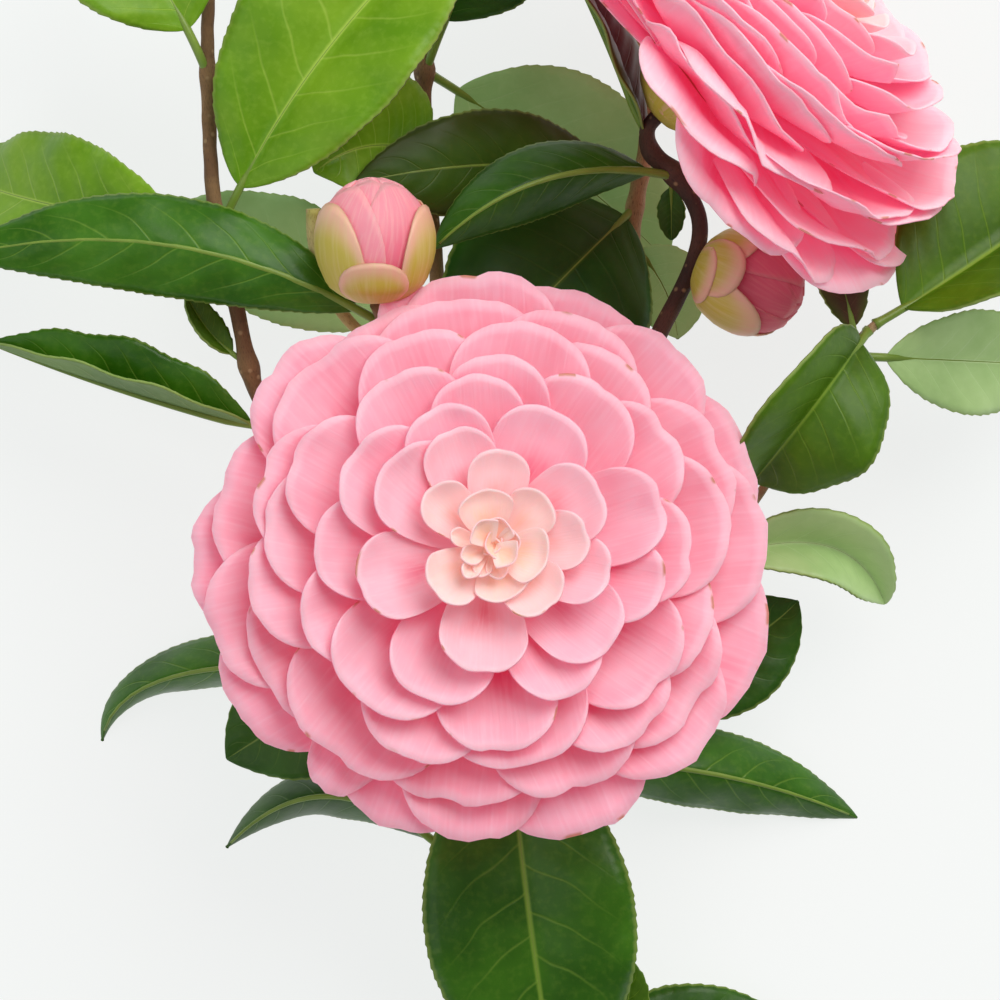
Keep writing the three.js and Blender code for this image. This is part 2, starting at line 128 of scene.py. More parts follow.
def paintedBoard():  # matt white studio board, rolled; a soft glow as of a light table
    material, tree = newMaterial("matt white studio board")
    place = addNode(tree, "TexCoord").outputs["Object"]
    grain = addNode(tree, "TexNoise", {"Scale": floorBoard["grain"] / mm, "Detail": 3.0}, {"Vector": place})
    bump = addNode(tree, "Bump", {"Strength": 0.1, "Distance": floorBoard["relief"] * mm}, {"Height": grain})
    shader = addNode(
        tree,
        "BsdfPrincipled",
        {
            "Base Color": linear(floorBoard["board"]),
            "Roughness": floorBoard["roughness"],
            "Emission Color": linear(floorBoard["paint"]),
            "Emission Strength": floorBoard["glow"],
        },
        {"Normal": bump},
    )
    finishMaterial(tree, shader)
    return material


bpy.ops.object.select_all(action="DESELECT")
bpy.ops.mesh.primitive_plane_add(size=floorBoard["side"])
floor = bpy.context.object
floor.name = "floor"
floor.data.materials.append(paintedBoard())
print("stage ready")


# Every leaf, petal, scale and stem starts as a flat grid that is bent into place.
def flatSheet(name, columns, rows):
    bpy.ops.object.select_all(action="DESELECT")
    bpy.ops.mesh.primitive_grid_add(x_subdivisions=columns, y_subdivisions=rows, size=2)
    sheet = bpy.context.object
    sheet.name = sheet.data.name = name
    return sheet


def sheetPlaces(sheet):  # across from -1 to 1, along from 0 to 1
    flat = np.empty(len(sheet.data.vertices) * 3)
    sheet.data.vertices.foreach_get("co", flat)
    flat = flat.reshape(-1, 3)
    return flat[:, 0].copy(), (flat[:, 1] + 1) / 2


def movePoints(sheet, points):
    sheet.data.vertices.foreach_set("co", np.ascontiguousarray(points, dtype=np.float32).ravel())
    sheet.data.update()


def copySheet(blank, name):
    sheet = blank.copy()
    sheet.data = blank.data.copy()
    sheet.name = sheet.data.name = name
    bpy.context.collection.objects.link(sheet)
    return sheet


def markPoints(sheet, name, values):  # a number for each vertex, for its material
    mark = sheet.data.attributes.new(name, "FLOAT", "POINT")
    mark.data.foreach_set("value", np.ascontiguousarray(values, dtype=np.float32))


def selectOnly(pieces):
    bpy.ops.object.select_all(action="DESELECT")
    for piece in pieces:
        piece.select_set(True)
    bpy.context.view_layer.objects.active = pieces[0]


def joinAs(name, pieces):
    selectOnly(pieces)
    if len(pieces) > 1:
        bpy.ops.object.join()
    piece = bpy.context.object
    piece.name = piece.data.name = name
    return piece


def removeBlank(blank):
    bpy.data.meshes.remove(blank.data)


def thicken(piece, thickness, offset, undersideStep=0):
    selectOnly([piece])
    wall = piece.modifiers.new("wall", "SOLIDIFY")
    wall.thickness = thickness * mm
    wall.offset = offset
    wall.material_offset = wall.material_offset_rim = undersideStep
    bpy.ops.object.modifier_apply(modifier=wall.name)


def smooth(piece):
    selectOnly([piece])
    bpy.ops.object.shade_smooth()


def unit(vectors):
    return vectors / np.linalg.norm(vectors, axis=-1, keepdims=True)


def ramp(low, high, values):
    t = np.clip((values - low) / (high - low), 0, 1)
    return t * t * (3 - 2 * t)


# The lateral veins of a leaf, which its shape and its colours both follow, and the marks of its skin.
leafVeins = {"count": 8.5, "lean": 0.15, "curve": 0.07, "stagger": 0.45}
leafSkin = {"patch": 14, "grain": 1.3, "relief": 0.3, "margin": "#93AA52", "bend": 1.36}


def leafMaterial(name, face, veins, gloss, show, warm=None, through=0.0, side="upper"):
    # waxy leaf blade: a dark mottled cuticle with thin paler veins, a pale margin and a soft gloss
    material, tree = newMaterial(name)
    coords = addNode(tree, "TexCoord")
    place = coords.outputs["Object"]
    flat = addNode(tree, "SeparateXYZ", links={0: coords.outputs["UV"]})
    signed = addNode(tree, "Math", {"operation": "MULTIPLY_ADD", 1: 2.0, 2: -1.0}, {0: flat.outputs[0]})
    half = addNode(tree, "Math", {"operation": "ABSOLUTE"}, {0: signed})  # 0 on the midrib, 1 at the margin
    cubed = addNode(tree, "Math", {"operation": "POWER", 1: 3.0}, {0: half})
    lean = addNode(tree, "Math", {"operation": "MULTIPLY_ADD", 1: -leafVeins["lean"]}, {0: half, 2: flat.outputs[1]})
    curve = addNode(tree, "Math", {"operation": "MULTIPLY_ADD", 1: -leafVeins["curve"]}, {0: cubed, 2: lean})
    wander = addNode(tree, "TexNoise", {"Scale": 90.0, "Detail": 1.0}, {"Vector": place})
    bent = addNode(tree, "Math", {"operation": "MULTIPLY_ADD", 1: 0.05}, {0: wander, 2: curve})
    rightHalf = addNode(tree, "Math", {"operation": "GREATER_THAN", 1: 0.0}, {0: signed})
    count = addNode(tree, "Math", {"operation": "MULTIPLY", 1: leafVeins["count"]}, {0: bent})
    phase = addNode(tree, "Math", {"operation": "MULTIPLY_ADD", 1: leafVeins["stagger"]}, {0: rightHalf, 2: count})
    near = addNode(tree, "Math", {"operation": "PINGPONG", 1: 0.5}, {0: phase})
    soft = {"interpolation_type": "SMOOTHSTEP"}
    lateral = addNode(tree, "MapRange", {**soft, 1: 0.0, 2: 0.055, 3: 1.0, 4: 0.0}, {0: near})
    edgeFade = addNode(tree, "MapRange", {1: 0.35, 2: 0.85, 3: 1.0, 4: 0.1}, {0: half})
    laterals = addNode(tree, "Math", {"operation": "MULTIPLY"}, {0: lateral, 1: edgeFade})
    midrib = addNode(tree, "MapRange", {**soft, 1: 0.005, 2: 0.042, 3: 1.0, 4: 0.0}, {0: half})
    patches = addNode(tree, "TexNoise", {"Scale": 1 / (leafSkin["patch"] * mm), "Detail": 3.0}, {"Vector": place})
    grain = addNode(tree, "TexNoise", {"Scale": 1 / (leafSkin["grain"] * mm), "Detail": 4.0}, {"Vector": place})
    spread = addNode(tree, "MapRange", {1: 0.35, 2: 0.68}, {0: patches})
    mottle = addNode(tree, "MapRange", {1: 0.48, 2: 0.72, 3: 0.0, 4: 0.22 * show}, {0: grain})
    lateralShare = addNode(tree, "Math", {"operation": "MULTIPLY", 1: 0.6 * show}, {0: laterals})
    ribShare = addNode(tree, "Math", {"operation": "MULTIPLY", 1: 0.75}, {0: midrib})
    coats = [(mottle, veins), (lateralShare, veins), (ribShare, veins)]
    if warm:  # a flush of another colour towards the margin
        coats.append((addNode(tree, "MapRange", {1: 0.35, 2: 1.0, 3: 0.0, 4: 0.85}, {0: half}), warm))
    margin = addNode(tree, "MapRange", {1: 0.955, 2: 0.985, 3: 0.0, 4: 0.55}, {0: half})
    coats.append((margin, leafSkin["margin"]))
    colour = addNode(tree, "Mix", {"data_type": "RGBA", 6: linear(face[0]), 7: linear(face[1])}, {0: spread})
    for share, tint in coats:
        colour = addNode(tree, "Mix", {"data_type": "RGBA", 7: linear(tint)}, {0: share, 6: colour})
    relief = addNode(tree, "Math", {"operation": "MULTIPLY", 1: 0.35}, {0: grain})
    sunk = addNode(tree, "Math", {"operation": "MAXIMUM"}, {0: laterals, 1: midrib})
    depth = -0.5 if side == "upper" else 0.6  # veins lie sunk in the face and stand out of the underside
    height = addNode(tree, "Math", {"operation": "MULTIPLY_ADD", 1: depth}, {0: sunk, 2: relief})
    bump = addNode(tree, "Bump", {"Strength": 0.4, "Distance": leafSkin["relief"] * mm}, {"Height": height})
    shine = addNode(tree, "MapRange", {1: 0.3, 2: 0.7, 3: gloss - 0.05, 4: gloss + 0.09}, {0: patches})
    shader = addNode(
        tree,
        "BsdfPrincipled",
        {
            "IOR": leafSkin["bend"],
            "Emission Color": linear(face[1]),
            "Emission Strength": through,  # painted glow for light from the glowing board that passes the blade
        },
        {"Base Color": colour, "Roughness": shine, "Normal": bump},
    )
    finishMaterial(tree, shader)
    return material


# Two greens of the face, veins, gloss, how strongly the veins show, flush at the margin, a painted glow for light let
# through.
leafFinishes = {
    "deep": (("#244E04", "#336208"), "#6C9038", 0.4, 0.4, None, 0.0),
    "glossy": (("#2A5A04", "#3E740A"), "#84A63A", 0.36, 0.5, None, 0.0),
    "bright": (("#5A8A08", "#7AA41C"), "#AECA54", 0.4, 0.55, None, 0.04),
    "lime": (("#3C6002", "#4E7604"), "#88A834", 0.42, 0.45, None, 0.0),
    "olive": (("#2A4A00", "#3A5C02"), "#66762A", 0.48, 0.35, "#343C02", 0.0),
    "shade": (("#144600", "#265E00"), "#487018", 0.46, 0.35, None, 0.0),
    # painted light: paler paint and a glow for leaves that lie low in shade yet show pale and lit
    "misty": (("#7EA45E", "#96B878"), "#B4CA98", 0.5, 0.4, None, 0.18),
    # painted sheen: pale paint for leaves that show a pale glossy reflection
    "sheen": (("#92B270", "#ACC888"), "#C8D8A8", 0.38, 0.35, None, 0.14),
    # painted shade and painted pink reflection: reddish brown for leaves that lie under and behind the upper bloom
    "paintedPinkShade": (("#4A3220", "#5C3A28"), "#7A5A34", 0.42, 0.4, "#4A561C", 0.0),
}
leafPaints = {tone: leafMaterial("waxy camellia leaf, " + tone, *finish) for tone, finish in leafFinishes.items()}
leafBack = leafMaterial("camellia leaf underside", ("#66854A", "#7C9A5A"), "#A3B880", 0.6, 0.5, side="under")


def stalkMaterial():  # green young wood with a dull skin
    material, tree = newMaterial("green leaf stalk")
    place = addNode(tree, "TexCoord").outputs["Object"]
    patches = addNode(tree, "TexNoise", {"Scale": 1 / (5 * mm), "Detail": 2.0}, {"Vector": place})
    greens = {"data_type": "RGBA", 6: linear("#5B7A22"), 7: linear("#86A03C")}
    colour = addNode(tree, "Mix", greens, {0: patches})
    finishMaterial(tree, addNode(tree, "BsdfPrincipled", {"Roughness": 0.42}, {"Base Color": colour}))
    return material


leafStalk = stalkMaterial()
barkSkin = {"patch": 9, "dotPitch": 2.4, "dots": "#A68A62", "relief": 0.25, "roughness": 0.68}


def barkMaterial(name, wood, cork, cracks):
    # thin young bark: fine lengthwise cracks and pale corky dots
    material, tree = newMaterial(name)
    coords = addNode(tree, "TexCoord")
    place = coords.outputs["Object"]
    grain = addNode(tree, "Mapping", {"Scale": (2.2, 0.35, 1.0)}, {"Vector": coords.outputs["UV"]})
    streaks = addNode(tree, "TexNoise", {"Scale": 3.0, "Detail": 4.0, "Roughness": 0.6}, {"Vector": grain})
    patches = addNode(tree, "TexNoise", {"Scale": 1 / (barkSkin["patch"] * mm), "Detail": 2.0}, {"Vector": place})
    dots = addNode(tree, "TexVoronoi", {"Scale": 1 / (barkSkin["dotPitch"] * mm)}, {"Vector": place})
    dot = addNode(tree, "MapRange", {1: 0.1, 2: 0.22, 3: 0.7, 4: 0.0}, {0: dots})
    blend = addNode(tree, "MapRange", {1: 0.35, 2: 0.65}, {0: patches})
    cracked = addNode(tree, "MapRange", {1: 0.52, 2: 0.66, 3: 0.0, 4: 0.75}, {0: streaks})
    colour = addNode(tree, "Mix", {"data_type": "RGBA", 6: linear(wood), 7: linear(cork)}, {0: blend})
    for share, tint in ((cracked, cracks), (dot, barkSkin["dots"])):
        colour = addNode(tree, "Mix", {"data_type": "RGBA", 7: linear(tint)}, {0: share, 6: colour})
    height = addNode(tree, "Math", {"operation": "SUBTRACT"}, {0: dot, 1: streaks})
    bump = addNode(tree, "Bump", {"Strength": 0.6, "Distance": barkSkin["relief"] * mm}, {"Height": height})
    skin = {"Roughness": barkSkin["roughness"]}
    finishMaterial(tree, addNode(tree, "BsdfPrincipled", skin, {"Base Color": colour, "Normal": bump}))
    return material


oldBark = barkMaterial("young camellia bark", "#6B4A2A", "#8A6A42", "#3A2717")
darkBark = barkMaterial("dark flowering twig bark", "#3A2319", "#57382A", "#1E120D")
paleBark = barkMaterial("pale dry twig bark", "#8E7148", "#B59B70", "#4E3820")
stubBark = barkMaterial("green and tan stub of a fallen bud", "#A8A052", "#C4B67C", "#7A6030")

petalSkin = {
    "cloud": 9, "blot": 6, "nick": "#A8743C", "heartGlow": "#F0B090", "relief": 0.2, "roughness": 0.55, "bend": 1.36,
}


def petalMaterial(name, tints):
    # thin moist petal: pale at its rim and deeper pink away from it, a painted shade where it goes under its
    # neighbours; an emission adds a painted deep-pink glow
    material, tree = newMaterial(name)
    coords = addNode(tree, "TexCoord")
    place = coords.outputs["Object"]
    marks = ("rim", "heart", "outer")
    rim, heart, outer = (addNode(tree, "Attribute", {"attribute_name": mark}).outputs["Fac"] for mark in marks)
    fan = addNode(tree, "Mapping", {"Scale": (22.0, 1.6, 1.0)}, {"Vector": coords.outputs["UV"]})
    fibres = addNode(tree, "TexNoise", {"Scale": 2.0, "Detail": 3.0, "Distortion": 0.3}, {"Vector": fan})
    clouds = addNode(tree, "TexNoise", {"Scale": 1 / (petalSkin["cloud"] * mm), "Detail": 2.0}, {"Vector": place})
    soft = {"interpolation_type": "SMOOTHSTEP"}
    # painted shade: the colour goes from body to base as the distance from the rim grows
    inner = addNode(tree, "MapRange", {**soft, 1: 0.32, 2: 1.02, 3: 0.0, 4: 1.0}, {0: rim})
    shade = addNode(tree, "MapRange", {1: 0.3, 2: 0.7, 3: -0.12, 4: 0.12}, {0: clouds})
    cast = addNode(tree, "Math", {"operation": "MULTIPLY_ADD", 1: 0.22}, {0: outer, 2: shade})
    share = addNode(tree, "Math", {"operation": "ADD", "use_clamp": True}, {0: inner, 1: cast})
    ground, throat = (
        addNode(tree, "Mix", {"data_type": "RGBA", 6: linear(tints[pale]), 7: linear(tints[full])}, {0: share})
        for pale, full in (("body", "base"), ("heart", "throat"))
    )
    colour = addNode(tree, "Mix", {"data_type": "RGBA"}, {0: heart, 6: ground, 7: throat})
    edge = addNode(tree, "MapRange", {**soft, 1: 0.0, 2: 0.14, 3: 0.3, 4: 0.0}, {0: rim})
    streak = addNode(tree, "MapRange", {1: 0.45, 2: 0.75, 3: 0.0, 4: 0.4}, {0: fibres})
    blots = addNode(tree, "TexNoise", {"Scale": 1 / (petalSkin["blot"] * mm), "Detail": 1.0}, {"Vector": place})
    blot = addNode(tree, "MapRange", {1: 0.66, 2: 0.7, 3: 0.0, 4: 0.75}, {0: blots})
    brink = addNode(tree, "MapRange", {1: 0.012, 2: 0.034, 3: 1.0, 4: 0.0}, {0: rim})
    nick = addNode(tree, "Math", {"operation": "MULTIPLY"}, {0: blot, 1: brink})  # a few browned spots on the rims
    for coat, tint in ((edge, tints["rim"]), (streak, tints["vein"]), (nick, petalSkin["nick"])):
        colour = addNode(tree, "Mix", {"data_type": "RGBA", 7: linear(tint)}, {0: coat, 6: colour})
    # painted glow: an emission of deep pink, peach near the heart, that brightens the petals' shade
    glows = {"data_type": "RGBA", 6: linear(tints["glow"]), 7: linear(petalSkin["heartGlow"])}
    paintedGlowTint = addNode(tree, "Mix", glows, {0: heart})
    bump = addNode(tree, "Bump", {"Strength": 0.25, "Distance": petalSkin["relief"] * mm}, {"Height": fibres})
    shader = addNode(
        tree,
        "BsdfPrincipled",
        {
            "Emission Strength": tints["through"],  # painted glow for light that the thin wall lets through
            "Roughness": petalSkin["roughness"],
            "IOR": petalSkin["bend"],
            "Subsurface Weight": 0.4,
            "Subsurface Radius": (1.0, 0.35, 0.4),
            "Subsurface Scale": 1.6 * mm,
        },
        {"Base Color": colour, "Emission Color": paintedGlowTint, "Normal": bump},
    )
    finishMaterial(tree, shader)
    return material


# From its rim a petal's colour goes from body to base, a painted shade where it goes under its neighbours, and near a
# bloom's heart from heart to throat.
tintColumns = ("base", "body", "rim", "vein", "heart", "throat", "glow", "through")
petalRows = {
    "moist camellia petal": ("#E03C6E", "#F2BECE", "#F7D9E2", "#F6D0DC", "#F8DAD6", "#F8CAB4", "#F01458", 0.13),
    # the back is a deeper copy of the face, painted shade on the undersides
    "moist camellia petal, back": ("#E84C7C", "#F3A2BC", "#F8D3DF", "#F6B4C8", "#F5C4C6", "#F3A3A3", "#F01050", 0.13),
    "moist camellia petal, paler bloom": (
        "#F07696", "#F9CFDA", "#FAE3EA", "#FADBE3", "#F8DEDA", "#F8D0C0", "#F0507E", 0.17,
    ),
    # the back is a deeper copy of the face, painted shade on the undersides
    "moist camellia petal, paler bloom's back": (
        "#F07C9A", "#F8BACB", "#FAE0E8", "#F9CCD8", "#F6CCCC", "#F5B4B0", "#F0507E", 0.17,
    ),
    "silky camellia bud petal": ("#E86F88", "#EE98A6", "#EDC4BC", "#F0CCC2", "#EBC0B0", "#E8A890", "#D83A5A", 0.13),
    # painted shade: a darker copy of the bud petal, for the bud that lies in the upper bloom's shade
    "bud petal in painted shade": ("#A84654", "#C86474", "#CE9484", "#D08C88", "#C0907C", "#B07060", "#B03050", 0.16),
}
petalPaints = {name: petalMaterial(name, dict(zip(tintColumns, row))) for name, row in petalRows.items()}
scaleTints = {"body": "#C6B548", "flush": "#EAB49C", "brink": "#8F6A3A", "silk": "#DCCB92"}


def scaleMaterial():  # bud scale: silky yellow-green, flushed with pale red towards its rim, which is thinly browned
    material, tree = newMaterial("silky bud scale")
    coords = addNode(tree, "TexCoord")
    rim = addNode(tree, "Attribute", {"attribute_name": "rim"}).outputs["Fac"]
    lengthwise = addNode(tree, "Mapping", {"Scale": (14.0, 1.0, 1.0)}, {"Vector": coords.outputs["UV"]})
    silk = addNode(tree, "TexNoise", {"Scale": 2.0, "Detail": 3.0}, {"Vector": lengthwise})
    inner = addNode(tree, "MapRange", {"interpolation_type": "SMOOTHSTEP", 1: 0.08, 2: 0.5}, {0: rim})
    brown = addNode(tree, "MapRange", {1: 0.0, 2: 0.04, 3: 0.25, 4: 0.0}, {0: rim})
    streak = addNode(tree, "MapRange", {1: 0.45, 2: 0.75, 3: 0.0, 4: 0.45}, {0: silk})
    ground = {"data_type": "RGBA", 6: linear(scaleTints["flush"]), 7: linear(scaleTints["body"])}
    colour = addNode(tree, "Mix", ground, {0: inner})
    for share, tint in ((brown, "brink"), (streak, "silk")):
        colour = addNode(tree, "Mix", {"data_type": "RGBA", 7: linear(scaleTints[tint])}, {0: share, 6: colour})
    bump = addNode(tree, "Bump", {"Strength": 0.3, "Distance": 0.2 * mm}, {"Height": silk})
    finishMaterial(tree, addNode(tree, "BsdfPrincipled", {"Roughness": 0.45}, {"Base Color": colour, "Normal": bump}))
    return material


budScale = scaleMaterial()
print("materials ready")


# Each stem runs along a smooth path, thinner towards its end.
stems = {
    "main_stem": {
        "path": [[8, -131, 4.2], [8, -121, 4.4], [7, -97, 10], [5, -71, 18], [2, -44, 26],
                 [-1, -24, 32], [-3.1, -14.5, 37.8], [-3.7, -12, 43.7]],
        "radii": [4.2, 2.1],
    },
    "left_stem": {
        "path": [[2, -42, 26.5], [-9, -27, 30], [-30, -3, 34.5], [-43.7, 18.2, 38], [-48.1, 36.3, 42],
                 [-51.5, 52, 44.5], [-52.8, 72, 43.8], [-52.9, 92, 41], [-51, 112, 37]],
        "radii": [2, 1.1],
    },
    "middle_stem": {
        "path": [[0, -30, 30], [-6, -10, 27.5], [-10, 20, 25], [-12, 46, 22], [-14, 76, 20],
                 [-12.5, 98, 21], [-9, 113, 23]],
        "radii": [1.7, 1.1],
    },
    "back_stem": {
        "path": [[1.4, -38, 27.5], [12, -12, 23], [20, 20, 18], [25, 53, 15], [27.5, 72, 13.5],
                 [25, 86, 13], [19, 99, 13], [11, 111, 14]],
        "radii": [1.7, 1.2], "bark": paleBark,
    },
    "bloom_stem": {
        "path": [[-0.6, -26, 31.4], [10, -11, 32.5], [20.8, 12.8, 35.5], [29.2, 30.8, 39], [35.2, 43.4, 40.5],
                 [36.2, 51.5, 39.8], [32, 59, 38.6], [27.5, 63.5, 39.6], [26.8, 67.3, 42.2], [28.6, 69.7, 44.5]],
        "radii": [1.9, 1.4], "bark": darkBark,
    },
    "right_stem": {
        "path": [[1.8, -41, 27], [18, -27, 28.5], [35, -12.5, 31], [46.7, 0, 34], [55, 14.6, 36.5],
                 [63.6, 27.3, 40], [68.5, 32.2, 42]],
        "radii": [1.7, 0.45], "bark": paleBark,
    },
    "bud_twig": {
        "path": [[-9.6, 14, 25.6], [-14, 20, 36], [-19, 28.5, 49], [-22, 35, 56.8]],
        "radii": [1.5, 1.3],
    },
    "scale_stub": {
        "path": [[-17.8, 26.6, 46.2], [-26, 31, 46.8], [-31, 38, 48.6], [-33.2, 45, 50.6], [-33.6, 52.3, 51.6]],
        "radii": [0.9, 1.3], "bark": stubBark,
    },
    "low_twig": {
        "path": [[4.8, -66, 19.6], [-3, -66.4, 19.5], [-11, -65.6, 19.2]],
        "radii": [1.2, 0.9],
    },
}
barkRelief = {
    "around": 18, "step": 0.9, "taper": 0.8, "waves": 5, "pitch": (5, 16), "bend": 0.05,
    "knuckle": 0.5, "knuckleLength": 2.4,
}
fineness = {"span": 80, "midrib": 300, "tangent": 400, "outline": 200, "blur": 7, "weld": 0.002, "clearOfFloor": 0.02}


def smoothPath(corners):  # centripetal Catmull-Rom, sampled finely: points and their distance along
    p = np.array(corners, dtype=float)
    p = np.vstack([2 * p[0] - p[1], p, 2 * p[-1] - p[-2]])
    gaps = np.sqrt(np.linalg.norm(np.diff(p, axis=0), axis=1))
    t = np.linspace(0, 1, fineness["span"])[:, None]
    parts = []
    for i in range(1, len(p) - 2):
        d0, d1, d2 = gaps[i - 1], gaps[i], gaps[i + 1]
        a, b, c, d = p[i - 1], p[i], p[i + 1], p[i + 2]
        m0 = d1 * ((b - a) / d0 - (c - a) / (d0 + d1) + (c - b) / d1)
        m1 = d1 * ((c - b) / d1 - (d - b) / (d1 + d2) + (d - c) / d2)
        parts.append(b + m0 * t + (3 * (c - b) - 2 * m0 - m1) * t**2 + (2 * (b - c) + m0 + m1) * t**3)
    line = np.vstack(parts)
    return line, runAlong(line)


def runAlong(line):  # each point's distance along the line
    return np.concatenate([[0], np.cumsum(np.linalg.norm(np.diff(line, axis=0), axis=1))])


def atRun(line, run, where):
    return np.stack([np.interp(where, run, line[:, k]) for k in range(3)], axis=-1)


def turnAlong(tangents, first):  # a side vector carried along without twist
    sides = []
    side = np.array(first, dtype=float)
    for tangent in tangents:
        side = side - tangent * side.dot(tangent)
        side = side / np.linalg.norm(side)
        sides.append(side)
    return np.array(sides)


def rollSheet(name, centres, sides, tangents, radii, around):
    # a grid rolled into a closed tube; radii has one row for each centre and one column round it
    rows = len(centres) - 1
    tube = flatSheet(name, around, rows)
    across, along = sheetPlaces(tube)
    row = np.rint(along * rows).astype(int)
    column = np.rint((across + 1) / 2 * around).astype(int) % around
    turn = 2 * np.pi * column / around
    other = np.cross(tangents, sides)
    out = np.cos(turn)[:, None] * sides[row] + np.sin(turn)[:, None] * other[row]
    movePoints(tube, inFrame(centres[row] + out * radii[row, column][:, None]))
    run = runAlong(centres)
    girth = 2 * np.pi * radii.max()
    uv = tube.data.uv_layers.active.data
    flat = np.empty(len(uv) * 2)
    uv.foreach_get("uv", flat)
    flat = flat.reshape(-1, 2)
    rowOf = np.clip(np.rint(flat[:, 1] * rows).astype(int), 0, rows)
    flat[:, 0] *= girth
    flat[:, 1] = run[rowOf]
    uv.foreach_set("uv", flat.astype(np.float32).ravel())
    selectOnly([tube])
    bpy.ops.object.mode_set(mode="EDIT")
    bpy.ops.mesh.select_all(action="SELECT")
    bpy.ops.mesh.remove_doubles(threshold=fineness["weld"] * mm)
    bpy.ops.mesh.normals_make_consistent(inside=False)
    bpy.ops.object.mode_set(mode="OBJECT")
    return tube


def endsTwice(rows):
    return np.vstack([rows[:1], rows, rows[-1:]])


def closedTube(name, centres, sides, tangents, radii):  # a point at each end closes the tube
    around = radii.shape[1]
    rim = np.zeros((1, around))
    radii = np.vstack([rim, radii, rim])
    return rollSheet(name, endsTwice(centres), endsTwice(sides), endsTwice(tangents), radii, around)


def makeStem(name, stem, knuckles, rng):
    line, run = smoothPath(stem["path"])
    length = run[-1]
    rows = max(8, int(length / barkRelief["step"]))
    where = np.linspace(0, length, rows + 1)
    centres = atRun(line, run, where)
    tangents = unit(np.gradient(centres, axis=0))
    around = barkRelief["around"]
    turn = 2 * np.pi * np.arange(around) / around
    first, last = stem["radii"]
    base = first + (last - first) * (where / length) ** barkRelief["taper"]
    relief = np.zeros((rows + 1, around))
    for wave in range(barkRelief["waves"]):
        pitch = rng.uniform(*barkRelief["pitch"])
        relief += np.sin(where / pitch * 2 * np.pi + rng.uniform(0, 6))[:, None] * np.cos(
            (wave + 1) * turn + rng.uniform(0, 6)
        )
    relief = barkRelief["bend"] / 2 * relief
    for spot in knuckles:
        away = (where - spot) / barkRelief["knuckleLength"]
        relief += barkRelief["knuckle"] / base.mean() * np.exp(-away * away)[:, None]
    return closedTube(name, centres, turnAlong(tangents, -skyward), tangents, base[:, None] * (1 + relief))


def restOnFloor(piece):  # nothing goes under the floor
    flat = np.empty(len(piece.data.vertices) * 3, dtype=np.float32)
    piece.data.vertices.foreach_get("co", flat)
    flat[2::3] = np.maximum(flat[2::3], fineness["clearOfFloor"] * mm)
    piece.data.vertices.foreach_set("co", flat)


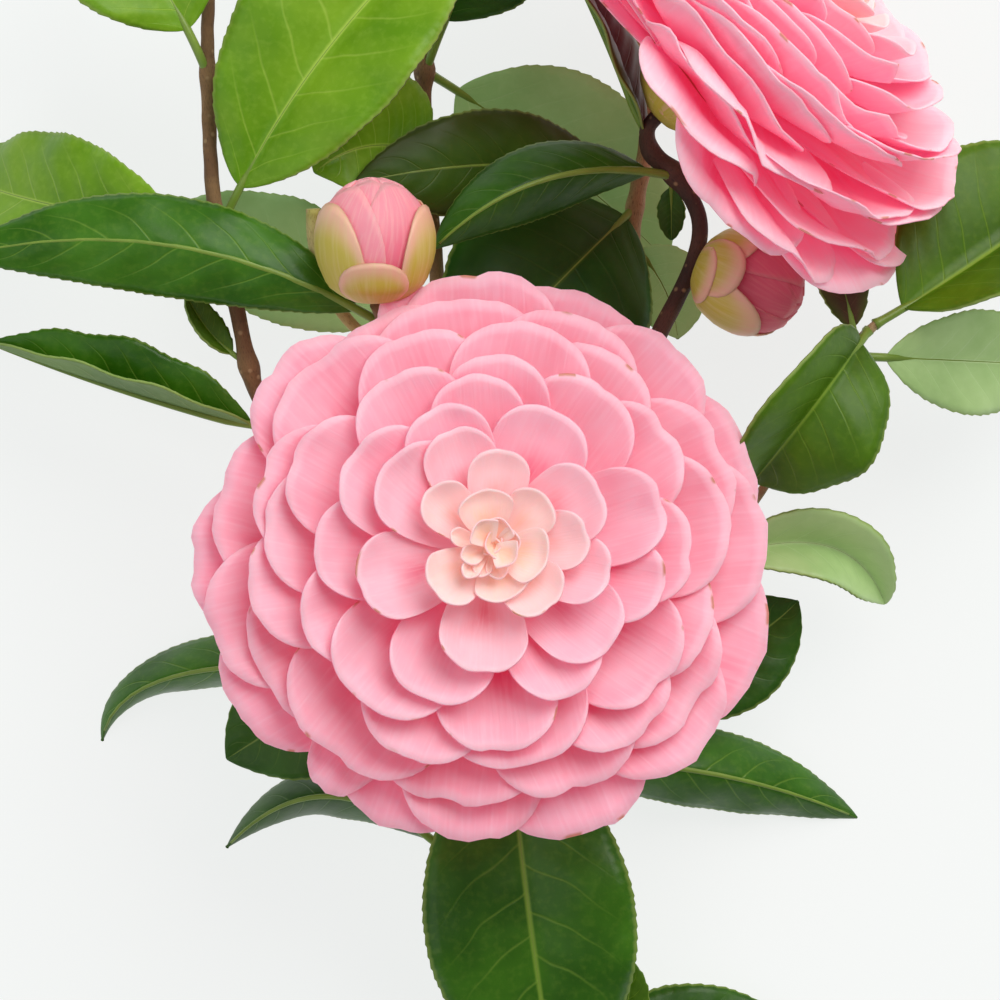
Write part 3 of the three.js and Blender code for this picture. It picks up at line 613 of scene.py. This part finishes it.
# Each leaf bows from its stem to its tip. Roll turns its face, fold lifts its halves, and lead is where its bow lies.
leafColumns = ("on", "at", "tip", "paint", "rise", "sway", "stalk", "width", "roll", "fold", "lead")
leafRows = {
    "leaf_top_left": ("left_stem", [-52.9, 77, 43.4], [-80, 114, 38], "bright", 5, -3, 9, 30, 8, 14),
    "leaf_upper_left": ("left_stem", [-50.8, 48.8, 44.3], [-2, 110, 50], "bright", 5, 4.5, 9, 36, -14, 20),
    "leaf_left_back": ("left_stem", [-51, 50.5, 44.5], [-104, 62, 0.1], "bright", 10, 3, 8, 26, 6, 6),
    "leaf_left_long": ("bud_twig", [-20.5, 31.2, 52.2], [-98, 43.8, 50], "glossy", 4, -8, 6, 19.5, 0, -25),
    "leaf_left_lower": ("left_stem", [-40.4, 12.6, 37], [-93.5, 28.8, 34], "glossy", 2, 1, 5, 18, 45, 60),
    "leaf_behind_stem": ("middle_stem", [-10.9, 32, 23.6], [-62, 54.3, 17], "misty", 4, 0.5, 8, 23, 10, 8),
    "leaf_small_young": ("left_stem", [-45.4, 24.5, 39.9], [-57, 37.5, 41.5], "lime", -1.5, 1.5, 4, 6, 30, 30),
    "leaf_bright": ("middle_stem", [-12.9, 64, 20.7], [-33.8, 59.5, 40], "bright", 5, -3, 2, 27, -8, 8),
    "leaf_dark": ("back_stem", [25.9, 60.5, 14.3], [-26.5, 57.5, 41], "olive", 5, -2.5, 9, 20, -6, -10),
    "leaf_upper_centre": ("bloom_stem", [32.2, 58.8, 38.6], [-12, 45, 52], "deep", 6, -6, 6, 20, -4, -50),
    "leaf_centre_large": ("back_stem", [25.2, 54.6, 14.9], [-8.3, 19.3, 30], "shade", 5, -0.5, 3, 39, 0, 6),
    "leaf_top_back": ("middle_stem", [-13.6, 79.5, 20.1], [31.7, 44.9, 5], "misty", -3, 2, 7, 34, 4, 5),
    "leaf_bloom_back": ("bloom_stem", [27.8, 63.2, 39.6], [9, 104, 42], "paintedPinkShade", 3, -1, 4, 24, 76, 10),
    "leaf_top_middle": ("middle_stem", [-13.8, 79.5, 20.1], [8, 117, 27], "deep", 5, 2, 11, 25, 10, 12),
    "leaf_right_upper": ("right_stem", [68, 31.8, 41.8], [109.5, 60, 33], "lime", 0, -1, 6, 40, -33, 33),
    "leaf_right_middle": ("right_stem", [62.6, 26.2, 39.6], [105, 25, 16], "sheen", 4, 0, 8, 19, 10, 8),
    "leaf_right_drooping": ("right_stem", [66.8, 30.7, 41.4], [46, 3.2, 38], "lime", 12, 0, 4, 28, -30, 30),
    "leaf_under_bloom": ("right_stem", [64.6, 28.4, 40.4], [56.5, 53, 43.5], "paintedPinkShade", 1, -1, 3, 10, 20, 10),
    "leaf_right_low": ("right_stem", [34, -13.2, 30.9], [71.8, -19.4, 16], "sheen", 4, 9, 8, 19, 0, 50, 0.72),
    "leaf_right_behind": ("right_stem", [19, -26.2, 28.6], [55.4, -18.8, 19], "deep", -6, -6.5, 7, 24, 0, 6),
    "leaf_low_right": ("main_stem", [2.6, -49, 24.6], [67.8, -60.3, 0.1], "glossy", 5, 4.3, 8, 20, 4, -42),
    "leaf_bottom_front": ("main_stem", [1.4, -40, 27.2], [10.8, -111.5, 17], "glossy", 9, -0.8, 4, 38.5, 0, 6),
    "leaf_low_left": ("low_twig", [-9.5, -65.8, 19.3], [-51.3, -65.2, 12], "deep", 6, -10.5, 4, 22, 0, -66, 0.56),
    "leaf_left_hidden": ("left_stem", [-12.2, -23.3, 30.7], [-50.7, -48, 22], "deep", 2, 0, 8, 26, 0, 6),
    "leaf_left_low": ("left_stem", [-4.6, -33.6, 28.5], [-75.4, -45.8, 0.1], "glossy", 5, -10.3, 8, 21, -7, -60, 0.9),
    "leaf_bottom_small": ("main_stem", [7.4, -104, 8.2], [23.5, -85.4, 15], "lime", 0, -7, 8, 8, 20, 20, 0.6),
    "leaf_bottom_right": ("main_stem", [7.8, -112, 6.2], [55, -99.5, 3], "deep", 3, 1.5, 7, 24, 6, -6),
    "leaf_back_centre": ("back_stem", [24.2, 48, 15.6], [33, 30, 20], "misty", -1, 2, 2, 15, 0, 6),
    "leaf_hanging_tip": ("bloom_stem", [31.2, 59.8, 38.6], [31.4, 47.6, 33], "deep", 0, 0, 3, 4.5, 10, 10),
    "leaf_end_left": ("left_stem", [-50.4, 109, 37.7], [-38, 133, 34], "deep", 4, -3, 5, 20, -10, 14),
    "leaf_end_middle": ("middle_stem", [-9.6, 110, 22.6], [-27, 133, 15], "deep", 4, 2, 5, 20, 10, 12),
    "leaf_end_back": ("back_stem", [12.5, 109, 13.8], [0, 134, 5], "deep", 5, -2, 5, 20, -6, 10),
}
leaves = {name: dict(zip(leafColumns, row)) for name, row in leafRows.items()}
blade = {
    "start": 0.8, "end": 0.9,  # fullness of the outline towards its base and its tip
    "least": 0.25, "columns": 14, "rowStep": 0.55, "wall": 0.45,
    "tooth": 0.32, "toothPitch": 2.1,
    "wave": 0.55, "wavePitch": 15, "puff": 0.07, "quilt": 0.16, "wideAt": 8,
}
rib = {
    "around": 8, "stalkRows": 7, "bladeRows": 22, "end": 0.97,
    "swelling": 1.5, "radii": [1.15, 0.85, 0.8, 0.22], "sunk": 0.85, "sinksOver": 5,
}


def camelName(nodeName):
    first, *rest = nodeName.split("_")
    return first + "".join(word.capitalize() for word in rest)


def bladeOutline(share):
    start, end = blade["start"], blade["end"]
    widest = start / (start + end)
    full = widest**start * (1 - widest) ** end
    return np.clip(share, 0, 1) ** start * np.clip(1 - share, 0, 1) ** end / full


def midribOf(leaf):  # points along the bowed midrib, and their distance along it
    at, tip = np.array(leaf["at"], dtype=float), np.array(leaf["tip"], dtype=float)
    left = unit(np.cross(skyward, tip - at))
    bow = at + (tip - at) * leaf.get("lead", 0.5) + skyward * 2 * leaf["rise"] + left * 2 * leaf["sway"]
    t = np.linspace(0, 1, fineness["midrib"])[:, None]
    line = (1 - t) ** 2 * at + 2 * t * (1 - t) * bow + t**2 * tip
    return line, runAlong(line)


def bladeFrame(line, run, where, roll):
    step = run[-1] / fineness["tangent"]
    centres = atRun(line, run, where)
    along = unit(atRun(line, run, np.minimum(where + step, run[-1])) - atRun(line, run, np.maximum(where - step, 0)))
    normal = unit(skyward - along * (along @ skyward)[:, None])
    turn = math.radians(roll)
    normal = normal * math.cos(turn) + np.cross(along, normal) * math.sin(turn)
    return centres, along, normal, np.cross(along, normal)


def makeLeaf(name, leaf, rng):
    line, run = midribOf(leaf)
    length = run[-1]
    stalk = leaf["stalk"]
    bladeLength = length - stalk
    rows = int(bladeLength / blade["rowStep"])
    sheet = flatSheet(camelName(name), blade["columns"], rows)
    a, b = sheetPlaces(sheet)
    size = np.abs(a)
    centres, along, normal, right = bladeFrame(line, run, stalk + b * bladeLength, leaf["roll"])
    half = leaf["width"] / 2 * bladeOutline(b) + blade["least"]
    saw = (b * bladeLength / blade["toothPitch"]) % 1
    teeth = blade["tooth"] * saw * ramp(0.8, 1, size) * ramp(0, 0.12, b) * ramp(1, 0.9, b)
    fold = math.radians(leaf["fold"])
    lateral = a * half + np.sign(a) * teeth
    broad = np.minimum(1, half / blade["wideAt"])  # narrow parts are waved and quilted less
    wavy = blade["wave"] * np.sin(b * bladeLength / blade["wavePitch"] * 2 * np.pi + rng.uniform(0, 6) + a * 1.5)
    wavy *= size**2 * broad
    phase = (b - leafVeins["lean"] * size - leafVeins["curve"] * size**3) * leafVeins["count"]
    phase = phase + leafVeins["stagger"] * (a > 0)
    quilt = np.cos(2 * np.pi * phase) * -blade["quilt"] * 4 * size * (1 - size) * broad
    puffed = blade["puff"] * half * 4 * size * (1 - size)
    flat = np.cos(fold) * lateral - np.sin(fold) * np.sign(a) * puffed * 0.5
    lift = np.sin(fold) * np.abs(lateral) + puffed + wavy + quilt
    movePoints(sheet, inFrame(centres + right * flat[:, None] + normal * lift[:, None]))
    sheet.data.materials.append(leafPaints[leaf["paint"]])
    sheet.data.materials.append(leafBack)
    thicken(sheet, blade["wall"], -1, 1)

    stalkPart = np.linspace(0, stalk, rib["stalkRows"])
    where = np.concatenate([stalkPart, np.linspace(stalk, length * rib["end"], rib["bladeRows"])[1:]])
    centres, along, normal, right = bladeFrame(line, run, where, leaf["roll"])
    radius = np.interp(where, [0, rib["swelling"], stalk, length], rib["radii"]) * min(1, leaf["width"] / 16 + 0.3)
    sunk = radius * np.interp(where, [0, stalk, stalk + rib["sinksOver"]], [0, 0, rib["sunk"]])
    radii = np.repeat(radius[:, None], rib["around"], axis=1)
    vein = closedTube("rib", centres - normal * sunk[:, None], right, along, radii)
    vein.data.materials.append(leafStalk)
    piece = joinAs(camelName(name), [sheet, vein])
    restOnFloor(piece)
    smooth(piece)
    return piece


rng = random.Random(7)
knuckles = {name: [] for name in stems}
for leaf in leaves.values():
    line, run = smoothPath(stems[leaf["on"]]["path"])
    nearest = np.argmin(np.linalg.norm(line - np.array(leaf["at"]), axis=1))
    knuckles[leaf["on"]].append(run[nearest])
for name, stem in stems.items():
    piece = makeStem(camelName(name), stem, knuckles[name], rng)
    piece.data.materials.append(stem.get("bark", oldBark))
    restOnFloor(piece)
    smooth(piece)
    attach(piece, "root")
    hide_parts(name)
print("stems grown")

for name, leaf in leaves.items():
    piece = makeLeaf(name, leaf, rng)
    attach(piece, "root")
    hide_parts(name)
print("leaves grown")


# Petals in rings round each bloom, from its heart outwards. Reach and height are those of the petals' tips and slope is
# their tilt there.
ringColumns = ("reach", "height", "slope", "width", "cup", "azimuths")


def ringTable(rows):  # what a ring has of its own comes last in its row
    return [{**dict(zip(ringColumns, row)), **dict(*row[len(ringColumns) :])} for row in rows]


openRings = ringTable([
    (0.8, 37.6, 100, 4.6, 0.8, [75, 195, 315], {"base": 0.9, "from": -1.2}),
    (4.1, 39.6, 84, 5.4, 0.8, [70, 128, 10, 322], {"base": 0.9, "from": -0.4}),
    (5.4, 38.4, 60, 3.4, 0.9, [246, 205, 282], {"base": 0.86}),
    (7.2, 38.6, 58, 3.4, 0.9, [166, 226], {"base": 0.86}),
    (9.2, 38, 50, 9, 0.45, [99, 345, 285], {"base": 0.84}),
    (12.5, 37.4, 40, 10, 0.42, [43, 217], {"base": 0.84}),
    (14.6, 37, 35, 10, 0.42, [139, 316], {"base": 0.82}),
    (16.8, 36.4, 30, 11.6, 0.36, [83, 7], {"base": 0.8}),
    (21.2, 35, 26, 14, 0.34, [110, 28, 263, 346], {"base": 0.74}),
    (23.4, 34.2, 24, 16, 0.36, [198, 138], {"base": 0.7}),
    (26.4, 33, 22, 16, 0.3, [63, 111, 322], {"base": 0.64}),
    (28.8, 32, 20, 18.5, 0.32, [247, 147, 301], {"base": 0.6}),
    (31.2, 31, 18, 18, 0.3, [97, 17, 178, 349], {"base": 0.5}),
    (34.8, 29, 15, 21.5, 0.26, [53, 122, 0, 228, 272, 86, 205]),
    (38.6, 26.6, 12, 24, 0.22, [171, 246, 281, 32, 326, 152]),
    (41.8, 24.2, 9, 25, 0.18, [9, 81, 112, 161, 340, 309, 57, 190]),
    (45.4, 21.4, 5, 29, 0.12, [22, 67, 100, 134, 209, 232, 261, 294, 325]),
    (47, 16.8, -2, 26, 0.04, [114]),
    (50, 18.2, 1, 29, 0.07, [3, 46, 92, 136, 168, 196, 268, 316]),
    (50.6, 16.6, -2, 15, 0.05, [235, 108]),
    (51.2, 15.6, -4, 30, 0.04, [24, 69, 181, 213, 252, 292, 337]),
])
bowlRings = ringTable([
    (5, 38, 75, 8, 0.5, [10, 130, 250], {"base": 0.84}),
    (10, 38, 64, 13, 0.45, [60, 132, 204, 276, 348], {"base": 0.8}),
    (16, 37.6, 56, 18, 0.42, [24, 96, 168, 240, 312], {"base": 0.7}),
    (22, 37, 52, 24, 0.4, [4, 63, 121, 184, 244, 303]),
    (28, 35.8, 48, 29, 0.38, [32, 90, 150, 208, 262, 324]),
    (33.5, 33.8, 44, 33, 0.36, [5, 58, 112, 190, 236, 288]),
    (38.5, 30.8, 40, 36, 0.32, [34, 86, 140, 214, 262, 312]),
    (42.4, 30.4, 38, 38, 0.28, [8, 60, 114, 192, 240, 288]),
    (45.6, 26.4, 30, 40, 0.24, [36, 88, 142, 206, 232, 257, 316]),
    (47.4, 21, 22, 40, 0.18, [12, 66, 120, 172, 274, 300]),
    (44, 22, 14, 40, 0.1, [226]),
    (46.6, 20, 4, 36, 0.1, [243, 100, 150], {"roll": 0.4}),
    (43, 16, 4, 40, 0.1, [232]),
    (48.6, 12, 4, 38, 0.1, [82, 134, 288, 328]),
    (48, 9.6, -20, 34, 0.0, [231], {"roll": 0.2}),
    (50, 6, -10, 34, 0.04, [273, 302], {"roll": 0.2}),
    (48, 1.6, -50, 38, 0.2, [251], {"dish": 0.16, "roll": 0.3}),
])
# Every other petal of a ring is raised a step above its neighbours.
petal = {
    "columns": 22, "rows": 15, "wall": 0.3, "step": 1.3,
    "start": 0.1, "widest": 0.72, "full": 0.8, "round": 2.4,  # outline
    "from": 0.4, "base": 0.42, "lowest": 3.5, "lead": 0.45,  # profile
    "rollZone": 9, "roll": 0.03, "dish": 0.07, "dishAt": 0.76, "dishSpan": 0.2,
    "frill": 0.004, "fade": 20, "grown": 45,
    "uneven": {"reach": 0.025, "width": 0.12, "height": 0.2, "azimuth": 2, "tilt": 5},
}
petalBlank = flatSheet("petalBlank", petal["columns"], petal["rows"])
petalAcross, petalAlong = sheetPlaces(petalBlank)
petalOrder = np.lexsort((petalAcross, petalAlong)).reshape(petal["rows"] + 1, petal["columns"] + 1)
# How petals are laid: the gap between two, the most one is pressed down, and the map of heights they lie under.
lay = {"gap": 0.45, "most": 3.5, "cell": 0.7, "span": 70, "fine": 6, "open": 1000.0, "from": 9}


def between(grid, steps):  # more rows and columns, straight between the old ones
    for axis in (0, 1):
        old = np.arange(grid.shape[axis])
        new = np.linspace(0, old[-1], old[-1] * steps + 1)
        low = np.minimum(new.astype(int), old[-1] - 1)
        share = (new - low).reshape((-1, 1, 1) if axis == 0 else (1, -1, 1))
        grid = np.take(grid, low, axis) * (1 - share) + np.take(grid, low + 1, axis) * share
    return grid


def neighbours(grid):  # the grid shifted by one row or column each way
    wide = np.pad(grid, 1, mode="edge")
    return [wide[r : r + grid.shape[0], c : c + grid.shape[1]] for r in range(3) for c in range(3)]


def cellsOf(places, count):  # the cells of the map of heights that the places lie in
    return np.clip(((places + lay["span"]) / lay["cell"]).astype(int), 0, count - 1)


def layUnder(points, ceiling, pressed):  # a petal lies under those already laid; ceiling is their lowest height
    grid = points[petalOrder]
    if pressed:
        x, y = cellsOf(grid[..., :2], len(ceiling)).transpose(2, 0, 1)
        push = np.clip(grid[..., 2] - (ceiling[x, y] - lay["gap"]), 0, lay["most"])
        push = np.maximum.reduce(neighbours(push))
        grid[..., 2] -= sum(neighbours(push)) / 9
    fine = between(grid, lay["fine"]).reshape(-1, 3)
    x, y = cellsOf(fine[:, :2], len(ceiling)).T
    np.minimum.at(ceiling, (x, y), fine[:, 2])
    points[petalOrder] = grid
    return points


def petalPoints(ring, azimuth, lift, rng):
    a = np.sin(petalAcross * np.pi / 2)
    widest, start = petal["widest"], petal["start"]
    notch = rng.uniform(-0.01, 0.03) * np.exp(-(((a - rng.uniform(-0.2, 0.2)) / 0.2) ** 2))
    ragged = petal["frill"] * min(1.0, ring["reach"] / petal["grown"]) ** 3
    wobble = 0.006 * np.sin(a * rng.uniform(4, 9) + rng.uniform(0, 6))
    wobble = wobble + ragged * np.sin(a * rng.uniform(13, 19) + rng.uniform(0, 6))
    rounded = np.sqrt(np.clip(1 - np.abs(a) ** petal["round"], 0, 1))
    end = widest + (1 - widest) * rounded - notch + wobble * (1 - a**2)
    share = start + (end - start) * petalAlong
    uneven = petal["uneven"]
    reach = ring["reach"] * (1 + uneven["reach"] * rng.uniform(-1, 1))
    width = ring["width"] * (1 + uneven["width"] * rng.uniform(-1, 1))
    height = ring["height"] + uneven["height"] * rng.uniform(-1, 1)
    slope = math.radians(ring["slope"])
    azimuth = azimuth + uneven["azimuth"] * rng.uniform(-1, 1)
    lead = petal["lead"] * reach
    foot = max(petal["lowest"], ring.get("base", petal["base"]) * height)
    p0 = np.array([ring.get("from", petal["from"]), foot])
    p1 = np.array([reach - lead * math.cos(slope), height - lead * math.sin(slope)])
    p2 = np.array([reach, height])
    t = share[:, None]
    spot = (1 - t) ** 2 * p0 + 2 * t * (1 - t) * p1 + t**2 * p2
    travel = unit(2 * (1 - t) * (p1 - p0) + 2 * t * (p2 - p1))
    half = width / 2 * np.sin(np.pi / 2 * np.minimum(share / widest, 1)) ** ring.get("full", petal["full"])
    side = half * a
    length = np.linalg.norm(p1 - p0) * 0.5 + np.linalg.norm(p2 - p1)
    toRim = np.minimum((end - share) * length * 1.2, (1 - np.abs(a)) * half * 1.6)
    near = np.clip(1 - toRim / petal["rollZone"], 0, 1)
    rollBack = ring.get("roll", petal["roll"]) * petal["rollZone"] * near**2
    hollow = np.exp(-(((share - petal["dishAt"]) / petal["dishSpan"]) ** 2))
    dish = ring.get("dish", petal["dish"]) * width * (1 - a**2) * hollow
    size = min(1.0, reach / 40)
    curl = size * 0.5 * petalAlong**4 * np.sin(a * rng.uniform(3, 7) + rng.uniform(0, 6))
    curl = curl + 40 * ragged * petalAlong**6 * np.sin(a * rng.uniform(11, 16) + rng.uniform(0, 6))
    facing = math.sin(math.radians(azimuth - ring.get("facing", 0)))
    turned = ring.get("turn", 0) * min(1.0, reach / petal["grown"]) ** 2 * facing
    tilt = math.tan(math.radians(uneven["tilt"] * rng.uniform(-1, 1) - turned))
    off = half * ring["cup"] * (a**2 - 0.35 * a**4) - dish + curl + side * tilt - rollBack
    out = np.array([math.cos(math.radians(azimuth)), math.sin(math.radians(azimuth)), 0])
    across = np.cross(out, skyward)
    points = (
        out * (spot[:, :1] - travel[:, 1:] * off[:, None])
        + skyward * (spot[:, 1:] + lift + travel[:, :1] * off[:, None])
        + across * side[:, None]
    )
    return points, np.clip(toRim / min(petal["fade"], 0.6 * reach), 0, 1)


def aim(points, bloom):
    heading, lean = math.radians(bloom["heading"]), math.radians(90 - bloom["elevation"])
    c, s = math.cos(heading), math.sin(heading)
    turn = np.array([[c, -s, 0], [s, c, 0], [0, 0, 1]])
    tip = np.array([[math.cos(lean), 0, math.sin(lean)], [0, 1, 0], [-math.sin(lean), 0, math.cos(lean)]])
    return points @ (turn @ tip @ turn.T).T + np.array(bloom["foot"], dtype=float)


heartReach, outerReach = (26, 8), (22, 50)  # reaches between which the petals' colour changes


def makeBloom(name, bloom, rng):
    petals = []
    cells = int(2 * lay["span"] / lay["cell"])
    ceiling = np.full((cells, cells), lay["open"])
    for ring in bloom["rings"]:
        places = list(enumerate(ring["azimuths"]))
        for i, azimuth in places[1::2] + places[::2]:  # the raised petals of a ring first
            points, toRim = petalPoints({**bloom["habit"], **ring}, azimuth, (i % 2) * petal["step"], rng)
            points = layUnder(points, ceiling, ring["reach"] > lay["from"])
            sheet = copySheet(petalBlank, "petal")
            movePoints(sheet, inFrame(aim(points, bloom)))
            markPoints(sheet, "rim", toRim)
            reach = np.full(len(points), float(ring["reach"]))
            markPoints(sheet, "heart", ramp(*heartReach, reach))
            markPoints(sheet, "outer", ramp(*outerReach, reach))
            petals.append(sheet)
    piece = joinAs(camelName(name), petals)
    for paint in bloom["paints"]:
        piece.data.materials.append(petalPaints[paint])
    thicken(piece, petal["wall"], -1, 1)
    smooth(piece)
    return piece


# A bloom's habit holds what its petals share; its turn swings them round towards the side that it faces.
blooms = {
    "bloom_front": {
        "foot": [-3.4, -11.6, 48], "heading": 60, "elevation": 83.5, "rings": openRings, "habit": {},
        "paints": ("moist camellia petal", "moist camellia petal, back"),
    },
    "bloom_upper": {
        "foot": [32, 72.7, 44.9], "heading": 42, "elevation": 16, "rings": bowlRings,
        "habit": {"full": 0.45, "facing": 222, "turn": 18},
        "paints": ("moist camellia petal, paler bloom", "moist camellia petal, paler bloom's back"),
    },
}
rng = random.Random(21)
for name, bloom in blooms.items():
    piece = makeBloom(name, bloom, rng)
    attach(piece, "root")
    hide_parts(name)
removeBlank(petalBlank)
print("blooms opened")


# Calyces and buds are made of scales that lie round an outline of radii and heights.
scale = {
    "columns": 14, "rows": 14, "round": 2.2, "blunt": 0.45, "closing": 0.05, "least": 0.02,
    "calyxWall": 0.6, "budWall": 0.3,
}
scaleBlank = flatSheet("scaleBlank", scale["columns"], scale["rows"])
scaleAcross, scaleAlong = sheetPlaces(scaleBlank)
# Each scale of a calyx has an azimuth, a height and half its spread; each scale of a bud its end as a share.
calyx = {
    "outline": [[3, -4.6], [7, -2.4], [10.6, 1.8], [12.6, 7], [14.2, 12]],
    "scales": [(0, 7, 62), (72, 9, 62), (144, 8, 62), (216, 10, 62), (288, 8.5, 62), (36, 12, 50), (180, 13, 50)],
    "shortest": 0.45, "fullHeight": 26, "lift": 0.3,
}
budOutline = [
    [0, 0], [0.4, 0.02], [0.78, 0.14], [0.97, 0.36], [1, 0.55], [0.88, 0.76], [0.6, 0.92], [0.25, 0.99], [0, 1],
]
buds = {
    "bud_left": {
        "foot": [-22, 35.4, 57.2], "heading": 92, "elevation": 12, "length": 22.5, "radius": 10.2,
        "scales": [(100, 0.78, 70), (30, 0.7, 56), (150, 0.7, 56), (216, 0.74, 48), (342, 0.7, 42), (270, 0.43, 46)],
        "petals": petalPaints["silky camellia bud petal"],
    },
    "bud_right": {
        "foot": [36, 43.4, 43.8], "heading": -24, "elevation": 10, "length": 20.5, "radius": 9,
        "scales": [(330, 0.8, 70), (50, 0.78, 60), (280, 0.76, 60), (112, 0.5, 46), (212, 0.7, 46), (158, 0.5, 40),
                   (180, 0.34, 50)],
        # this bud's petals are painted in shade
        "petals": petalPaints["bud petal in painted shade"],
    },
}
# The petals of a bud overlap in a spiral; each lies a little higher and ends a little lower than the one before.
budPetals = {
    "count": 10, "first": 40, "turn": 137.5, "start": 0.02, "end": (0.99, -0.014), "spread": (84, -3.4),
    "lift": (-1.2, 0.13), "swirl": 34, "egg": -1.5,
}
budScales = {"lift": (0.1, 0.24)}


def outlineAt(outline, share):  # radius and height at a share of the outline's length
    shape = np.array(outline, dtype=float)
    run = runAlong(shape)
    fine = np.linspace(0, run[-1], fineness["outline"])
    r, z = np.interp(fine, run, shape[:, 0]), np.interp(fine, run, shape[:, 1])
    blur = fineness["blur"]
    soft = np.ones(2 * blur + 1) / (2 * blur + 1)
    r, z = (np.convolve(np.pad(line, blur, mode="edge"), soft, mode="valid") for line in (r, z))
    where = np.clip(share, 0, 1) * run[-1]
    return np.interp(where, fine, r), np.interp(where, fine, z)


def scalePoints(outline, azimuth, start, end, spread, lift, swirl=0.0, blunt=scale["blunt"]):
    a = np.sin(scaleAcross * np.pi / 2)
    tip = np.sqrt(np.clip(1 - np.abs(a) ** scale["round"], 0, 1))
    last = start + (end - start) * (blunt + (1 - blunt) * tip)
    share = start + (last - start) * scaleAlong
    r, z = outlineAt(outline, share)
    turn = np.radians(azimuth + a * spread + swirl * scaleAlong)
    r = np.maximum(r + lift * (0.8 + 0.2 * (1 - a**2)) * (1 - 0.1 * scaleAlong), scale["least"])
    r = r * np.sqrt(np.clip((1 - share) / scale["closing"], 0, 1))
    points = np.stack([r * np.cos(turn), r * np.sin(turn), z], axis=1)
    toRim = np.minimum((last - share) / (end - start) * 1.7, (1 - np.abs(scaleAcross)) * 0.9)
    return points, np.clip(toRim, 0, 1)


def scalePiece(points, toRim, aimedAt, material):
    sheet = copySheet(scaleBlank, "scale")
    movePoints(sheet, inFrame(aim(points, aimedAt)))
    markPoints(sheet, "rim", toRim)
    markPoints(sheet, "heart", np.zeros(len(toRim)))
    markPoints(sheet, "outer", np.zeros(len(toRim)))
    sheet.data.materials.append(material)
    return sheet


def stepped(pair, i):  # the first number, changed by the second at each step
    return pair[0] + pair[1] * i


for name, bloom in blooms.items():
    scales = []
    for azimuth, height, spread in calyx["scales"]:
        end = calyx["shortest"] + height / calyx["fullHeight"]
        points, toRim = scalePoints(calyx["outline"], azimuth, 0.0, end, spread, calyx["lift"])
        scales.append(scalePiece(points, toRim, bloom, budScale))
    node = name.replace("bloom", "calyx")
    piece = joinAs(camelName(node), scales)
    thicken(piece, scale["calyxWall"], -1)
    smooth(piece)
    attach(piece, "root")
    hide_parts(node)

for name, bud in buds.items():
    outline = [[r * bud["radius"], z * bud["length"]] for r, z in budOutline]
    start = budPetals["start"]
    points, toRim = scalePoints(outline, 90, start, 1.0, 180, budPetals["egg"], 0, 1)  # a closed egg under the petals
    parts = [scalePiece(points, toRim, bud, bud["petals"])]
    for i in range(budPetals["count"]):
        azimuth = budPetals["first"] + i * budPetals["turn"]
        end, spread, lift = (stepped(budPetals[part], i) for part in ("end", "spread", "lift"))
        points, toRim = scalePoints(outline, azimuth, start, end, spread, lift, budPetals["swirl"])
        parts.append(scalePiece(points, toRim, bud, bud["petals"]))
    for i, (azimuth, end, spread) in enumerate(bud["scales"]):
        points, toRim = scalePoints(outline, azimuth, 0.0, end, spread, stepped(budScales["lift"], i))
        parts.append(scalePiece(points, toRim, bud, budScale))
    piece = joinAs(camelName(name), parts)
    thicken(piece, scale["budWall"], -1)
    smooth(piece)
    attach(piece, "root")
    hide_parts(name)
removeBlank(scaleBlank)
print("buds and calyces closed")
